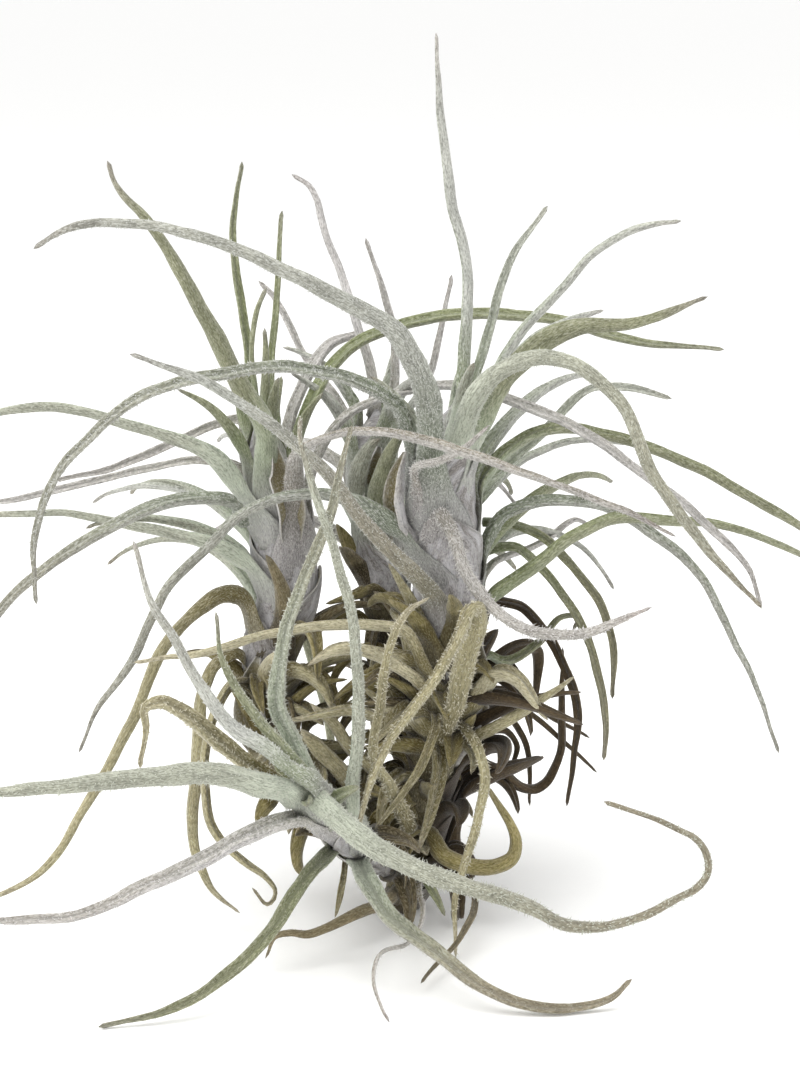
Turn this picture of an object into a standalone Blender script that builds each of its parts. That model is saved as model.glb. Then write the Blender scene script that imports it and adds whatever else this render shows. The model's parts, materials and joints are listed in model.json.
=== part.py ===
"""Air plant: a loose clump of four shoots with narrow, channelled, arching leaves.

Every stem and every leaf is one closed solid in its own object. Each is swept along a smooth curve
through a few waypoints. Tables are in millimetres, X to the right, Y to the back and Z up, with the
trimmed end of the old stem on the ground at Z = 0. Meshes are made in metres.
"""

import bpy
import numpy as np

MM = 0.001
GAP = 0.3  # air between a leaf's foot and the stem it grew from
LEAF_THICKNESS = 0.6  # of its width: the leaves are nearly half-round
LEAST_THICKNESS = 0.35
RING_STEP = 3.6  # along a leaf
LEAST_RINGS = 9
MOST_RINGS = 34
STEM_SIDES = 12
STEM_RINGS = 19
CURVE_STEPS = 240
RIPPLE = 0.02  # every second ring is wider by this share, so that a straight stretch keeps its rings

# A leaf's section, as shares of half its width and half its thickness: a round back below
# and a shallow channel on top.
SECTION = np.array(
    [
        (-1.00, 0.35),
        (-0.72, -0.55),
        (0.00, -1.00),
        (0.72, -0.55),
        (1.00, 0.35),
        (0.62, 0.62),
        (0.00, 0.22),
        (-0.62, 0.62),
    ]
)

# name: colour as linear RGB, roughness
COLOURS = {
    "stem_sheath": ((0.41, 0.39, 0.40), 0.85),
    "silver": ((0.44, 0.46, 0.41), 0.85),
    "mint": ((0.52, 0.58, 0.52), 0.85),
    "lavender": ((0.46, 0.44, 0.45), 0.85),
    "rough_grey": ((0.33, 0.34, 0.29), 0.85),
    "olive": ((0.26, 0.27, 0.17), 0.8),
    "green": ((0.26, 0.33, 0.18), 0.75),
    "khaki": ((0.36, 0.33, 0.19), 0.8),
    "pale_khaki": ((0.45, 0.42, 0.29), 0.8),
    "brown": ((0.22, 0.18, 0.12), 0.8),
    "dark_brown": ((0.09, 0.065, 0.04), 0.8),
    "white_fuzz": ((0.55, 0.53, 0.51), 0.9),
}

# Stems as (x, y, z, radius). The right stem is the oldest, and the others branch from it.
STEMS = {
    "right": [
        (0, 0, 0, 4.0),
        (2, 1, 5, 4.4),
        (5, 3, 18, 4.6),
        (7, 4, 31, 4.8),
        (9, 4, 43, 5.4),
        (10, 3, 55, 6.2),
        (10, 2, 67, 6.6),
        (9, 2, 78, 6.9),
        (8, 2, 88, 7.0),
        (9, 2, 97, 5.8),
        (10, 3, 102, 3.8),
        (11, 4, 106, 1.6),
    ],
    "left": [
        (-2, 3, 14, 3.2),
        (-10, 2, 19, 3.7),
        (-21, 3, 26, 4.2),
        (-26, 6, 34, 4.4),
        (-28, 8, 44, 4.6),
        (-26, 10, 55, 5.5),
        (-23, 11, 65, 6.3),
        (-24, 12, 75, 6.1),
        (-25, 13, 83, 5.6),
        (-27, 14, 90, 5.0),
        (-28, 14, 97, 3.6),
        (-29, 15, 101, 1.5),
    ],
    "back": [
        (5, 9, 18, 3.2),
        (2, 16, 31, 3.8),
        (0, 20, 43, 4.0),
        (-2, 24, 55, 4.2),
        (-4, 28, 67, 4.6),
        (-6, 31, 80, 5.0),
        (-6, 32, 89, 5.0),
        (-5, 32, 95, 4.2),
        (-5, 32, 99, 1.8),
    ],
    "front": [
        (-2, -4, 11, 3.0),
        (-8, -13, 19, 3.9),
        (-13, -21, 27, 4.3),
        (-16, -26, 32, 3.8),
        (-18, -30, 36, 1.8),
    ],
}

# Leaves as name: (stem, colour, waypoints as (x, y, z, width)), from foot to tip.
LEAVES = {
    # right shoot
    "right_tall_leaf": ("right", "silver", [(12, 4, 107, 3.4), (13, 6, 120, 3.0), (13, 8, 133, 2.6),
        (10, 9, 146, 2.6), (8, 9, 161, 2.1), (7, 8, 177, 0.6)]),
    "right_thin_leaf": ("right", "silver", [(14, 10, 106, 2.0), (18, 13, 119, 2.0), (21, 14, 130, 1.7),
        (24, 14, 136, 1.5), (29, 15, 143, 0.6)]),
    "right_high_arch": ("right", "silver", [(16, 4, 104, 3.0), (21, 3, 116, 2.8), (31, -1, 129, 2.1),
        (38, -3, 137, 1.9), (47, -5, 142, 1.7), (53, -6, 143, 0.6)]),
    "right_broad_arch": ("right", "olive", [(16, -4, 102, 3.4), (21, -9, 114, 4.4), (28, -12, 121, 5.2),
        (35, -14, 124, 3.7), (44, -16, 125, 2.5), (50, -17, 127, 2.0), (57, -18, 130, 0.6)]),
    "right_mint_drooper": ("right", "mint", [(11, -7, 98, 4.6), (15, -14, 111, 4.1), (23, -18, 118, 3.3),
        (30, -21, 119, 3.1), (36, -23, 116, 2.8), (42, -25, 110, 2.6), (48, -27, 97, 2.6),
        (57, -28, 85, 2.2), (68, -28, 73, 0.6)]),
    "right_dark_arch": ("right", "olive", [(16, 6, 89, 3.0), (21, 7, 95, 3.0), (28, 9, 99, 2.8),
        (36, 11, 99, 2.6), (51, 12, 95, 2.6), (64, 12, 89, 2.6), (78, 12, 81, 2.4), (93, 12, 72, 0.7)]),
    "right_hooked_back_leaf": ("right", "silver", [(16, 12, 88, 2.2), (22, 15, 91, 2.0),
        (31, 17, 99, 2.0), (35, 18, 103, 1.8), (40, 19, 106, 1.6), (48, 19, 106, 1.6), (55, 19, 104, 0.9)]),
    "right_fuzzy_front_leaf": ("right", "white_fuzz", [(7, -7, 87, 3.0), (10, -10, 83, 2.7),
        (14, -13, 73, 2.5), (21, -17, 67, 2.1), (28, -20, 65, 2.1), (36, -23, 66, 1.9),
        (43, -26, 70, 1.2), (47, -27, 72, 0.4)]),
    "right_brown_arch": ("right", "brown", [(17, 4, 76, 3.1), (20, 4, 82, 3.0), (25, 4, 85, 2.8),
        (32, 4, 86, 2.6), (42, 5, 84, 2.6), (51, 5, 79, 2.6), (60, 5, 71, 2.2), (66, 5, 61, 2.0),
        (74, 4, 44, 1.3), (78, 4, 33, 0.7)]),
    "right_green_arch": ("right", "green", [(17, 1, 66, 3.9), (26, -1, 73, 3.5), (34, -3, 80, 3.2),
        (42, -4, 84, 3.0), (50, -4, 84, 2.8), (65, -2, 82, 2.1), (80, 0, 76, 1.7), (88, 1, 72, 0.7)]),
    "right_falling_leaf_a": ("right", "olive", [(17, 10, 80, 2.0), (23, 12, 79, 2.0), (29, 14, 76, 2.0),
        (36, 16, 69, 1.8), (42, 18, 60, 1.8), (45, 19, 50, 1.6), (45, 19, 40, 0.7)]),
    "right_falling_leaf_b": ("right", "olive", [(16, 8, 74, 2.0), (23, 9, 75, 2.0), (29, 11, 70, 1.8),
        (36, 13, 60, 1.8), (41, 14, 48, 1.8), (43, 14, 37, 1.6), (43, 14, 28, 0.7)]),
    "right_falling_dark_leaf": ("right", "dark_brown", [(18, 8, 64, 2.2), (25, 10, 62, 2.2),
        (31, 11, 55, 2.0), (35, 10, 47, 2.0), (37, 9, 38, 1.8), (35, 8, 20, 0.7)]),
    "high_crossing_leaf": ("right", "rough_grey", [(6, -7, 95, 5.4), (5, -15, 111, 4.9),
        (2, -19, 119, 4.5), (-1, -22, 124, 4.0), (-11, -26, 131, 3.4), (-24, -30, 138, 2.6),
        (-38, -33, 144, 2.1), (-54, -35, 146, 1.7), (-60, -36, 145, 1.5), (-65, -36, 142, 0.4)]),
    "middle_crossing_leaf": ("right", "rough_grey", [(2, 0, 99, 3.4), (1, -4, 104, 3.4),
        (-1, -8, 108, 3.1), (-10, -14, 114, 2.7), (-23, -19, 117, 2.4), (-35, -22, 116, 2.4),
        (-47, -24, 113, 2.2), (-58, -24, 105, 2.0), (-66, -24, 95, 1.8), (-70, -22, 82, 1.4),
        (-70, -21, 72, 0.4)]),
    "front_crossing_leaf": ("right", "rough_grey", [(7, -7, 69, 3.6), (0, -14, 78, 3.4),
        (-7, -19, 87, 2.9), (-13, -22, 96, 2.5), (-19, -25, 103, 2.4), (-30, -28, 112, 2.0),
        (-38, -29, 117, 1.8), (-49, -29, 121, 0.6)]),
    # left shoot
    "left_olive_leaf": ("left", "olive", [(-27, 7, 92, 4.6), (-27, 3, 101, 4.3), (-32, 0, 111, 3.8),
        (-36, -3, 120, 3.4), (-42, -6, 133, 2.5), (-48, -8, 143, 1.9), (-53, -9, 149, 1.2),
        (-55, -9, 154, 0.6)]),
    "left_upright_leaf_a": ("left", "green", [(-31, 18, 98, 2.2), (-31, 20, 114, 2.0),
        (-33, 21, 126, 1.8), (-34, 22, 137, 1.5), (-32, 22, 151, 0.7)]),
    "left_upright_leaf_b": ("left", "green", [(-27, 18, 98, 1.8), (-26, 20, 114, 1.5),
        (-25, 22, 127, 1.3), (-24, 23, 141, 0.7)]),
    "left_long_back_leaf": ("left", "green", [(-22, 20, 88, 2.7), (-21, 22, 96, 2.7),
        (-17, 25, 105, 2.9), (-13, 28, 110, 2.9), (-8, 30, 114, 2.7), (0, 32, 117, 2.7),
        (16, 34, 119, 2.7), (31, 34, 118, 2.5), (43, 33, 115, 2.3), (53, 32, 113, 1.8), (67, 31, 112, 0.7)]),
    "left_lavender_arch": ("left", "lavender", [(-19, 17, 86, 2.5), (-17, 19, 92, 2.5),
        (-12, 20, 99, 2.2), (-4, 19, 104, 2.0), (8, 16, 107, 2.2), (16, 12, 107, 2.2), (24, 8, 105, 2.4),
        (39, 0, 99, 2.1), (48, -4, 93, 1.9), (60, -8, 84, 1.9), (68, -10, 76, 1.3), (71, -10, 68, 0.4)]),
    "left_white_arch": ("left", "white_fuzz", [(-21, 6, 84, 4.4), (-21, 2, 91, 4.0), (-20, -4, 97, 3.0),
        (-15, -12, 102, 2.1), (-6, -20, 105, 2.0), (8, -23, 103, 2.4), (19, -23, 99, 2.0),
        (30, -22, 95, 1.6), (42, -21, 90, 1.6), (52, -21, 85, 0.6)]),
    "left_mint_leaf": ("left", "mint", [(-32, 10, 86, 5.4), (-37, 7, 94, 4.8), (-42, 6, 97, 3.9),
        (-50, 5, 100, 3.0), (-63, 4, 104, 2.6), (-74, 4, 105, 2.6), (-90, 5, 101, 0.6)]),
    "left_thin_leaf_a": ("left", "lavender", [(-32, 19, 100, 2.0), (-38, 22, 98, 1.8),
        (-49, 22, 93, 1.8), (-59, 22, 89, 1.6), (-71, 22, 86, 0.7)]),
    "left_thin_leaf_b": ("left", "lavender", [(-33, 18, 90, 1.8), (-41, 18, 91, 1.8), (-49, 18, 90, 1.6),
        (-62, 18, 87, 1.6), (-74, 18, 84, 1.6), (-90, 18, 81, 0.7)]),
    "left_bold_leaf": ("left", "rough_grey", [(-32, 6, 81, 3.3), (-33, 1, 86, 3.2), (-38, -3, 88, 3.0),
        (-46, -7, 88, 3.0), (-58, -10, 83, 2.7), (-68, -12, 77, 2.3), (-78, -12, 68, 2.1),
        (-88, -11, 52, 0.6)]),
    "left_pale_leaf": ("left", "mint", [(-30, 7, 71, 4.6), (-35, 6, 75, 3.9), (-43, 5, 78, 2.8),
        (-52, 5, 80, 2.4), (-66, 4, 83, 1.7), (-81, 4, 83, 1.5), (-86, 4, 83, 0.7)]),
    "left_down_leaf": ("right", "rough_grey", [(3.5, 0, 77, 6.4), (-2, -2, 83, 6.0), (-8, -3, 87, 4.4),
        (-14, -4, 89, 3.1), (-20, -6, 89.5, 2.7), (-26, -7, 88.5, 2.6), (-32, -7, 85, 2.7),
        (-38, -6, 79, 2.6), (-46, -7, 71, 2.6), (-53, -9, 57, 2.4),
        (-60, -10, 47, 1.5), (-64, -10, 38, 0.4)]),
    "left_low_leaf": ("left", "khaki", [(-30, 7, 65, 5.0), (-36, 5, 66, 3.5), (-42, 3, 62, 2.6),
        (-48, 0, 56, 2.4), (-54, -4, 42, 2.2), (-62, -8, 28, 2.0), (-72, -12, 13, 1.5), (-86, -14, 6, 0.7)]),
    # back shoot
    "back_upright_leaf_a": ("back", "lavender", [(-5, 32, 101, 2.3), (-6, 33, 107, 2.3),
        (-9, 35, 117, 2.0), (-12, 38, 126, 1.8), (-16, 40, 136, 1.6), (-18, 41, 144, 1.4),
        (-22, 41, 147, 0.7)]),
    "back_upright_leaf_b": ("back", "lavender", [(-2, 36, 98, 2.1), (-1, 38, 104, 2.1),
        (-1, 40, 112, 1.8), (-3, 41, 121, 1.6), (-7, 43, 133, 0.7)]),
    "back_curled_leaf": ("back", "lavender", [(-9, 37, 92, 1.8), (-14, 42, 100, 1.9),
        (-20, 46, 107, 1.6), (-24, 48, 114, 1.6), (-27, 50, 120, 1.4), (-30, 51, 123, 0.9)]),
    # front shoot
    "front_right_leaf": ("front", "mint", [(-16, -33, 36, 4.5), (-10, -39, 33, 4.5), (-3, -43, 29, 4.1),
        (7, -45, 25, 3.6), (22, -45, 20, 2.9), (32, -42, 14, 2.3), (42, -39, 13, 1.7), (52, -36, 16, 1.5),
        (59, -33, 20, 1.4), (58, -31, 26, 1.3), (51, -30, 30, 1.1), (40, -30, 34, 0.4)]),
    "front_under_leaf": ("front", "mint", [(-8, -19, 17, 3.9), (-6, -32, 18, 4.0), (-1, -40, 14, 3.5),
        (8, -46, 9, 3.1), (17, -50, 4, 2.4), (29, -51, 0.7, 2.0), (39, -49, 2, 1.4), (43, -48, 5, 0.6)]),
    "front_low_left_leaf": ("front", "olive", [(-14, -20, 20, 3.2), (-18, -33, 20, 2.9),
        (-24, -43, 14, 2.7), (-31, -49, 8, 2.4), (-41, -54, 3, 1.8), (-55, -57, 0.3, 0.6)]),
    "front_grey_leaf": ("front", "lavender", [(-19, -30, 31, 3.8), (-23, -38, 33, 3.8),
        (-29, -43, 32, 3.6), (-37, -47, 29, 3.2), (-46, -51, 26, 3.0), (-58, -53, 21, 2.2),
        (-70, -54, 20, 1.8), (-81, -53, 19, 0.6)]),
    "front_silver_leaf": ("front", "mint", [(-20, -35, 38, 4.5), (-26, -42, 42, 4.5),
        (-32, -45, 45, 4.3), (-42, -48, 46, 3.8), (-54, -51, 46, 3.2), (-67, -53, 45, 2.4),
        (-82, -54, 45, 0.8)]),
    "front_high_left_leaf": ("front", "silver", [(-20, -37, 43, 2.8), (-25, -41, 49, 3.0),
        (-31, -43, 54, 2.8), (-36, -44, 61, 2.2), (-41, -45, 71, 1.8), (-45, -45, 78, 1.4),
        (-48, -45, 89, 0.4)]),
    "front_high_thin_leaf": ("front", "silver", [(-18, -32, 41, 2.4), (-22, -35, 47, 2.5),
        (-27, -38, 54, 2.4), (-31, -39, 61, 2.0), (-33, -39, 66, 1.4), (-34, -39, 74, 0.4)]),
    "front_upright_leaf_a": ("front", "mint", [(-17, -27, 38, 3.1), (-20, -28, 45, 3.5),
        (-23, -30, 53, 3.5), (-23, -32, 60, 3.1), (-22, -32, 67, 2.6), (-19, -32, 76, 2.4),
        (-13, -33, 92, 2.0), (-9, -33, 108, 0.6)]),
    "front_upright_leaf_b": ("front", "white_fuzz", [(-9, -25, 29, 3.0), (-9, -28, 38, 3.1),
        (-8, -31, 49, 2.9), (-8, -34, 64, 2.4), (-11, -38, 83, 2.0), (-16, -40, 99, 1.6),
        (-18, -40, 108, 1.0), (-18, -40, 111, 0.4)]),
    "front_bent_brown_leaf": ("front", "brown", [(-21, -28, 35, 3.3), (-28, -32, 42, 3.5),
        (-34, -33, 47, 3.5), (-39, -34, 52, 3.3), (-45, -35, 56, 2.6), (-48, -35, 55, 1.8),
        (-48, -36, 50, 1.2), (-49, -36, 44, 0.6)]),
    # old leaves low on the clump
    "old_curled_leaf": ("right", "khaki", [(2, -10, 21, 3.5), (-2, -16, 32, 2.4), (-5, -20, 40, 1.9),
        (-4, -22, 51, 1.9), (-2, -24, 63, 1.7), (1, -24, 70, 1.4), (5, -24, 73, 0.4)]),
    "old_folded_leaf": ("right", "khaki", [(8, -3, 37, 3.1), (11, -9, 47, 3.9), (13, -12, 57, 4.4),
        (15, -14, 66, 3.8), (14, -18, 70, 3.3), (10, -21, 62, 2.7), (6, -23, 56, 2.7), (1, -26, 50, 2.5),
        (-5, -29, 40, 2.1), (-9, -31, 26, 0.6)]),
    "old_hanging_leaf": ("right", "khaki", [(12, -2, 41, 2.7), (15, -9, 39, 2.6), (17, -14, 34, 2.4),
        (16, -17, 28, 2.1), (13, -19, 18, 1.9), (11, -22, 10, 1.3), (11, -26, 1, 0.6)]),
    "old_looped_leaf": ("right", "khaki", [(5, -4, 20, 3.3), (9, -9, 15, 3.5), (16, -11, 13, 3.3),
        (22, -12, 15, 2.8), (23, -12, 20, 2.4), (18, -9, 29, 0.9)]),
    "old_bridging_leaf": ("right", "khaki", [(5, -5, 53, 2.6), (1, -9, 62, 2.6), (-8, -13, 65, 2.5),
        (-18, -16, 65, 2.3), (-27, -18, 64, 2.1), (-38, -19, 61, 1.9), (-51, -19, 59, 0.6)]),
    "old_left_hanging_leaf_a": ("left", "khaki", [(-32, 5, 54, 2.7), (-37, 1, 53, 2.6),
        (-40, -2, 47, 2.6), (-41, -5, 36, 2.8), (-42, -8, 23, 2.4), (-41, -11, 15, 2.0),
        (-38, -13, 9, 1.3), (-33, -14, 5, 0.4)]),
    "old_left_hanging_leaf_b": ("left", "khaki", [(-31, 3, 48, 2.4), (-35, -5, 49, 2.4),
        (-38, -10, 42, 2.2), (-39, -13, 30, 2.2), (-37, -15, 22, 2.2), (-30, -17, 16, 1.7),
        (-25, -18, 12, 1.1), (-26, -18, 8, 0.9), (-29, -18, 11, 0.4)]),
    "old_low_left_leaf": ("right", "brown", [(1, -4, 7, 2.7), (-3, -16, 8, 2.8), (-10, -24, 8, 2.3),
        (-18, -28, 6, 1.7), (-24, -30, 7, 1.3), (-26, -31, 3, 0.4)]),
    "old_pale_broad_leaf": ("right", "pale_khaki", [(15, -1, 44, 4.6), (17, -5, 50, 4.6),
        (20, -9, 54, 4.0), (24, -10, 52, 3.4), (26, -11, 49, 2.8), (29, -11, 45, 0.9)]),
    "dark_hooked_leaf": ("right", "dark_brown", [(14, 7, 30, 2.7), (20, 9, 27, 2.7), (27, 13, 21, 2.7),
        (31, 15, 22, 2.5), (34, 15, 28, 2.3), (34, 15, 39, 2.0), (34, 15, 51, 0.7)]),
    # leaves on the far side
    "behind_right_arch": ("right", "silver", [(9, 9, 90, 3.4), (12, 25, 98, 3.2), (15, 42, 96, 2.7),
        (17, 56, 82, 2.0), (18, 64, 62, 0.7)]),
    "behind_right_prop": ("right", "olive", [(9, 10, 54, 3.0), (12, 26, 58, 3.0), (14, 42, 44, 2.6),
        (14, 54, 20, 2.0), (14, 60, 0.1, 0.7)]),
    "behind_left_prop": ("left", "olive", [(-25, 18, 58, 3.0), (-25, 32, 60, 3.0), (-20, 45, 42, 2.6),
        (-16, 53, 20, 2.0), (-15, 58, 0.1, 0.7)]),
    "behind_back_arch": ("back", "silver", [(-5, 37, 82, 3.4), (-5, 52, 92, 3.2), (-4, 66, 86, 2.7),
        (-3, 76, 66, 2.0), (-3, 80, 45, 0.8)]),
}


def smooth_curve(points):
    """A curve through every row, with widths carried along: centripetal, so it doesn't loop at bends."""
    points = np.array(points, float)
    steps = np.linalg.norm(np.diff(points[:, :3], axis=0), axis=1) ** 0.5
    knots = np.concatenate([[0.0], np.cumsum(steps)])
    rows = np.vstack([2 * points[0] - points[1], points, 2 * points[-1] - points[-2]])
    times = np.concatenate([[-steps[0]], knots, [knots[-1] + steps[-1]]])
    curve = []
    for t in np.linspace(0, knots[-1], CURVE_STEPS):
        i = min(int(np.searchsorted(knots, t, side="right")) - 1, len(points) - 2)
        p0, p1, p2, p3 = rows[i : i + 4]
        t0, t1, t2, t3 = times[i : i + 4]
        a1 = ((t1 - t) * p0 + (t - t0) * p1) / (t1 - t0)
        a2 = ((t2 - t) * p1 + (t - t1) * p2) / (t2 - t1)
        a3 = ((t3 - t) * p2 + (t - t2) * p3) / (t3 - t2)
        b1 = ((t2 - t) * a1 + (t - t0) * a2) / (t2 - t0)
        b2 = ((t3 - t) * a2 + (t - t1) * a3) / (t3 - t1)
        row = ((t2 - t) * b1 + (t - t1) * b2) / (t2 - t1)
        row[3] = p1[3] + (p2[3] - p1[3]) * (t - t1) / (t2 - t1)
        curve.append(row)
    return np.array(curve)


def unit(v):
    return v / np.linalg.norm(v, axis=-1, keepdims=True)


def evenly(curve, count, start=0):
    """count rows spaced evenly along the curve from row start on, every second one a hair wider."""
    curve = curve[start:]
    along = np.concatenate([[0.0], np.cumsum(np.linalg.norm(np.diff(curve[:, :3], axis=0), axis=1))])
    wanted = np.linspace(0, along[-1], count)
    rows = np.stack([np.interp(wanted, along, column) for column in curve.T], axis=1)
    rows[1::2, 3] *= 1 + RIPPLE
    return rows


def frames(centres, inward):
    """Tangent, side and upper direction at each centre, turned as little as possible from one to the next."""
    tangents = unit(np.gradient(centres, axis=0))
    up = inward
    found = []
    for tangent in tangents:
        up = unit(up - tangent * (up @ tangent))
        found.append((tangent, np.cross(up, tangent), up))
    return np.array(found)


def leaf_ring(row, frame):
    _, side, up = frame
    half_width = row[3] / 2
    half_thick = max(row[3] * LEAF_THICKNESS, LEAST_THICKNESS) / 2
    return row[:3] + np.outer(SECTION[:, 0] * half_width, side) + np.outer(SECTION[:, 1] * half_thick, up)


def stem_ring(row, frame):
    _, side, up = frame
    turn = np.linspace(0, 2 * np.pi, STEM_SIDES, endpoint=False)
    return row[:3] + row[3] * (np.outer(np.cos(turn), side) + np.outer(np.sin(turn), up))


def clear_start(curve, rings_of, axis):
    """The first row whose whole ring lies outside the stem with this axis, with the gap."""
    rings = rings_of(curve)
    for start, ring in enumerate(rings):
        away = np.linalg.norm(ring[:, None] - axis[None, :, :3], axis=2) - axis[None, :, 3]
        if away.min() > GAP:
            return start
    raise ValueError("a leaf never leaves its stem")


def tube(name, rings, foot, tip, colour):
    """One closed solid from rings of points, with a point at each end."""
    sides = len(rings[0])
    points = np.vstack([np.array(rings).reshape(-1, 3), foot, tip]) * MM
    foot_at = len(points) - 2
    tip_at = len(points) - 1
    last = (len(rings) - 1) * sides
    faces = []
    for k in range(sides):
        after = (k + 1) % sides
        faces.append((foot_at, after, k))
        faces.append((last + k, last + after, tip_at))
        for ring in range(len(rings) - 1):
            low = ring * sides
            high = low + sides
            faces.append((low + k, low + after, high + after, high + k))
    mesh = bpy.data.meshes.new(name)
    mesh.from_pydata(points.tolist(), [], faces)
    mesh.validate()
    mesh.materials.append(material(colour))
    thing = bpy.data.objects.new(name, mesh)
    bpy.context.scene.collection.objects.link(thing)
    return thing


def material(colour):
    name = colour + "_surface"
    found = bpy.data.materials.get(name)
    if found:
        return found
    rgb, roughness = COLOURS[colour]
    made = bpy.data.materials.new(name)
    made.use_nodes = True
    shader = made.node_tree.nodes["Principled BSDF"]
    shader.inputs["Base Color"].default_value = (*rgb, 1.0)
    shader.inputs["Roughness"].default_value = roughness
    shader.inputs["Metallic"].default_value = 0.0
    return made


def length_of(curve):
    return np.linalg.norm(np.diff(curve[:, :3], axis=0), axis=1).sum()


def build_stem(name, axis, parent):
    inward = np.array([0.0, 1.0, 0.0])

    def rings_of(rows):
        return [stem_ring(row, frame) for row, frame in zip(rows, frames(rows[:, :3], inward))]

    start = clear_start(axis, rings_of, parent) if parent is not None else 0
    rows = evenly(axis, STEM_RINGS, start)
    rings = rings_of(rows)
    if parent is None:
        rings[0][:, 2] = 0.0  # the trimmed end lies flat on the ground
    foot = rings[0].mean(axis=0)
    if parent is not None:
        foot = foot - GAP / 3 * unit(rows[1, :3] - rows[0, :3])
    tip = rows[-1, :3] + unit(rows[-1, :3] - rows[-2, :3]) * rows[-1, 3] * 0.6
    tube(name + "_stem", rings, foot, tip, "stem_sheath")


def build_leaf(name, stem, colour, waypoints, axes):
    curve = smooth_curve(waypoints)
    axis = axes[stem]
    nearest = axis[np.linalg.norm(axis[:, :3] - curve[0, :3], axis=1).argmin(), :3]
    inward = unit(nearest - curve[0, :3] + np.array([0.0, 0.0, 1e-3]))

    def rings_of(rows):
        return [leaf_ring(row, frame) for row, frame in zip(rows, frames(rows[:, :3], inward))]

    start = clear_start(curve, rings_of, axis)
    count = int(np.clip(length_of(curve[start:]) / RING_STEP, LEAST_RINGS, MOST_RINGS)) + 1
    rows = evenly(curve, count, start)
    rings = rings_of(rows)
    foot = rings[0].mean(axis=0) - GAP / 3 * unit(rows[1, :3] - rows[0, :3])
    tip = rows[-1, :3] + unit(rows[-1, :3] - rows[-2, :3]) * 0.8
    tip[2] = max(tip[2], rings[-1][:, 2].min())
    tube(name, rings, foot, tip, colour)


def main():
    for old in list(bpy.data.objects):
        bpy.data.objects.remove(old, do_unlink=True)
    axes = {name: smooth_curve(points) for name, points in STEMS.items()}
    for name, axis in axes.items():
        build_stem(name, axis, None if name == "right" else axes["right"])
    for name, (stem, colour, waypoints) in LEAVES.items():
        build_leaf(name, stem, colour, waypoints, axes)


main()
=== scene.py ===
"""Air plant: a loose clump of felted, channelled, arching leaves on four sheathed stems.

Every leaf and stem takes its line from the frame's own node and is rebuilt here in fine mesh, with
the broad foot that clasps its stem, the ridges along it and the silver hairs that stand on it.
Lengths in tables are in millimetres and meshes are in metres, X right, Y back and Z up.
"""

import json
import math

import bpy
import numpy as np
from bpy.props import FloatProperty, FloatVectorProperty, IntProperty, PointerProperty
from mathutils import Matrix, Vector


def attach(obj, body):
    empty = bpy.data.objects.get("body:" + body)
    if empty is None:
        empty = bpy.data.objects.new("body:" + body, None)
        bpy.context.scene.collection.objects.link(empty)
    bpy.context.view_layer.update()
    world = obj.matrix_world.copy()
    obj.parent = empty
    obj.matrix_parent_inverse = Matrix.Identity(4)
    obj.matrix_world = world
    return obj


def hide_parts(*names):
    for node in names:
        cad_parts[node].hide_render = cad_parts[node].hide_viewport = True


bl_info = {
    "name": "Air Plant",
    "version": (1, 0, 0),
    "blender": (4, 5, 0),
    "location": "3D View > Sidebar > Air Plant",
    "description": "Builds a clump of felted air plant leaves and its studio stage",
    "category": "Add Mesh",
}

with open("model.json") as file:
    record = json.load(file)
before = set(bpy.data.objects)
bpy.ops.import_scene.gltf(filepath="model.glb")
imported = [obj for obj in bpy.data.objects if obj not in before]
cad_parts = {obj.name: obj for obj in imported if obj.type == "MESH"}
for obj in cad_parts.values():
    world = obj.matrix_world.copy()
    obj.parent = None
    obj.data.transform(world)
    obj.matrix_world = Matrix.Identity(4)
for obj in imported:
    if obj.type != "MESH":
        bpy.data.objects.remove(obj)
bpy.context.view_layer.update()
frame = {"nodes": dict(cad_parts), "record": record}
SLOT_OF = {part["node"]: part["material_slot"] for part in frame["record"]["subparts"]}
MM = 0.001

FRAME_LEAF_SIDES = 8  # corners of a leaf's ring in the frame
FRAME_STEM_SIDES = 12  # and of a stem's
FLAT = 0.01 * MM  # how far off a plane a ring's corners may be
BACK_POINTS = 17  # round the leaf's outer side
FRONT_POINTS = 13  # across its channel
RING = BACK_POINTS + FRONT_POINTS
IS_BACK = np.arange(RING) < BACK_POINTS
STEM_SIDES = 40  # round a stem here
STEP = 0.9 * MM  # between two rings along a leaf
STEM_STEP = 0.5 * MM  # between two places on a stem's axis
BAND = 6 * MM  # between two swellings of a stem
RING_SAG = 0.34  # how far a ring's middle lies under its two edges, as a share of half its thickness
POINT_LENGTH = 0.8  # of a leaf's last stretch, in millimetres
POINT_WIDTH, POINT_THICKNESS = 0.16 * MM, 0.1 * MM
SIGHT = 20  # how far up the stem the channel of a leaf faces, in millimetres
STEEPEST = -2.3  # past straight down, in radians: a drooping leaf curls no further under
LOWEST = 1.5 * MM  # a drooping leaf stops falling here, just over the ground
FOOT_REACH, FRONT_FOOT_REACH = 3.5 * MM, 9.0 * MM  # how far from a stem a leaf may start
SPREAD = 0.618  # share of a turn from one leaf to the next, so that no two rows line up
TURN = 2 * math.pi
THIRDS = (0, 2.094, 4.189)  # of a turn, in radians
GRAIN = 0.012 * MM  # how rough the skin is
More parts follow.
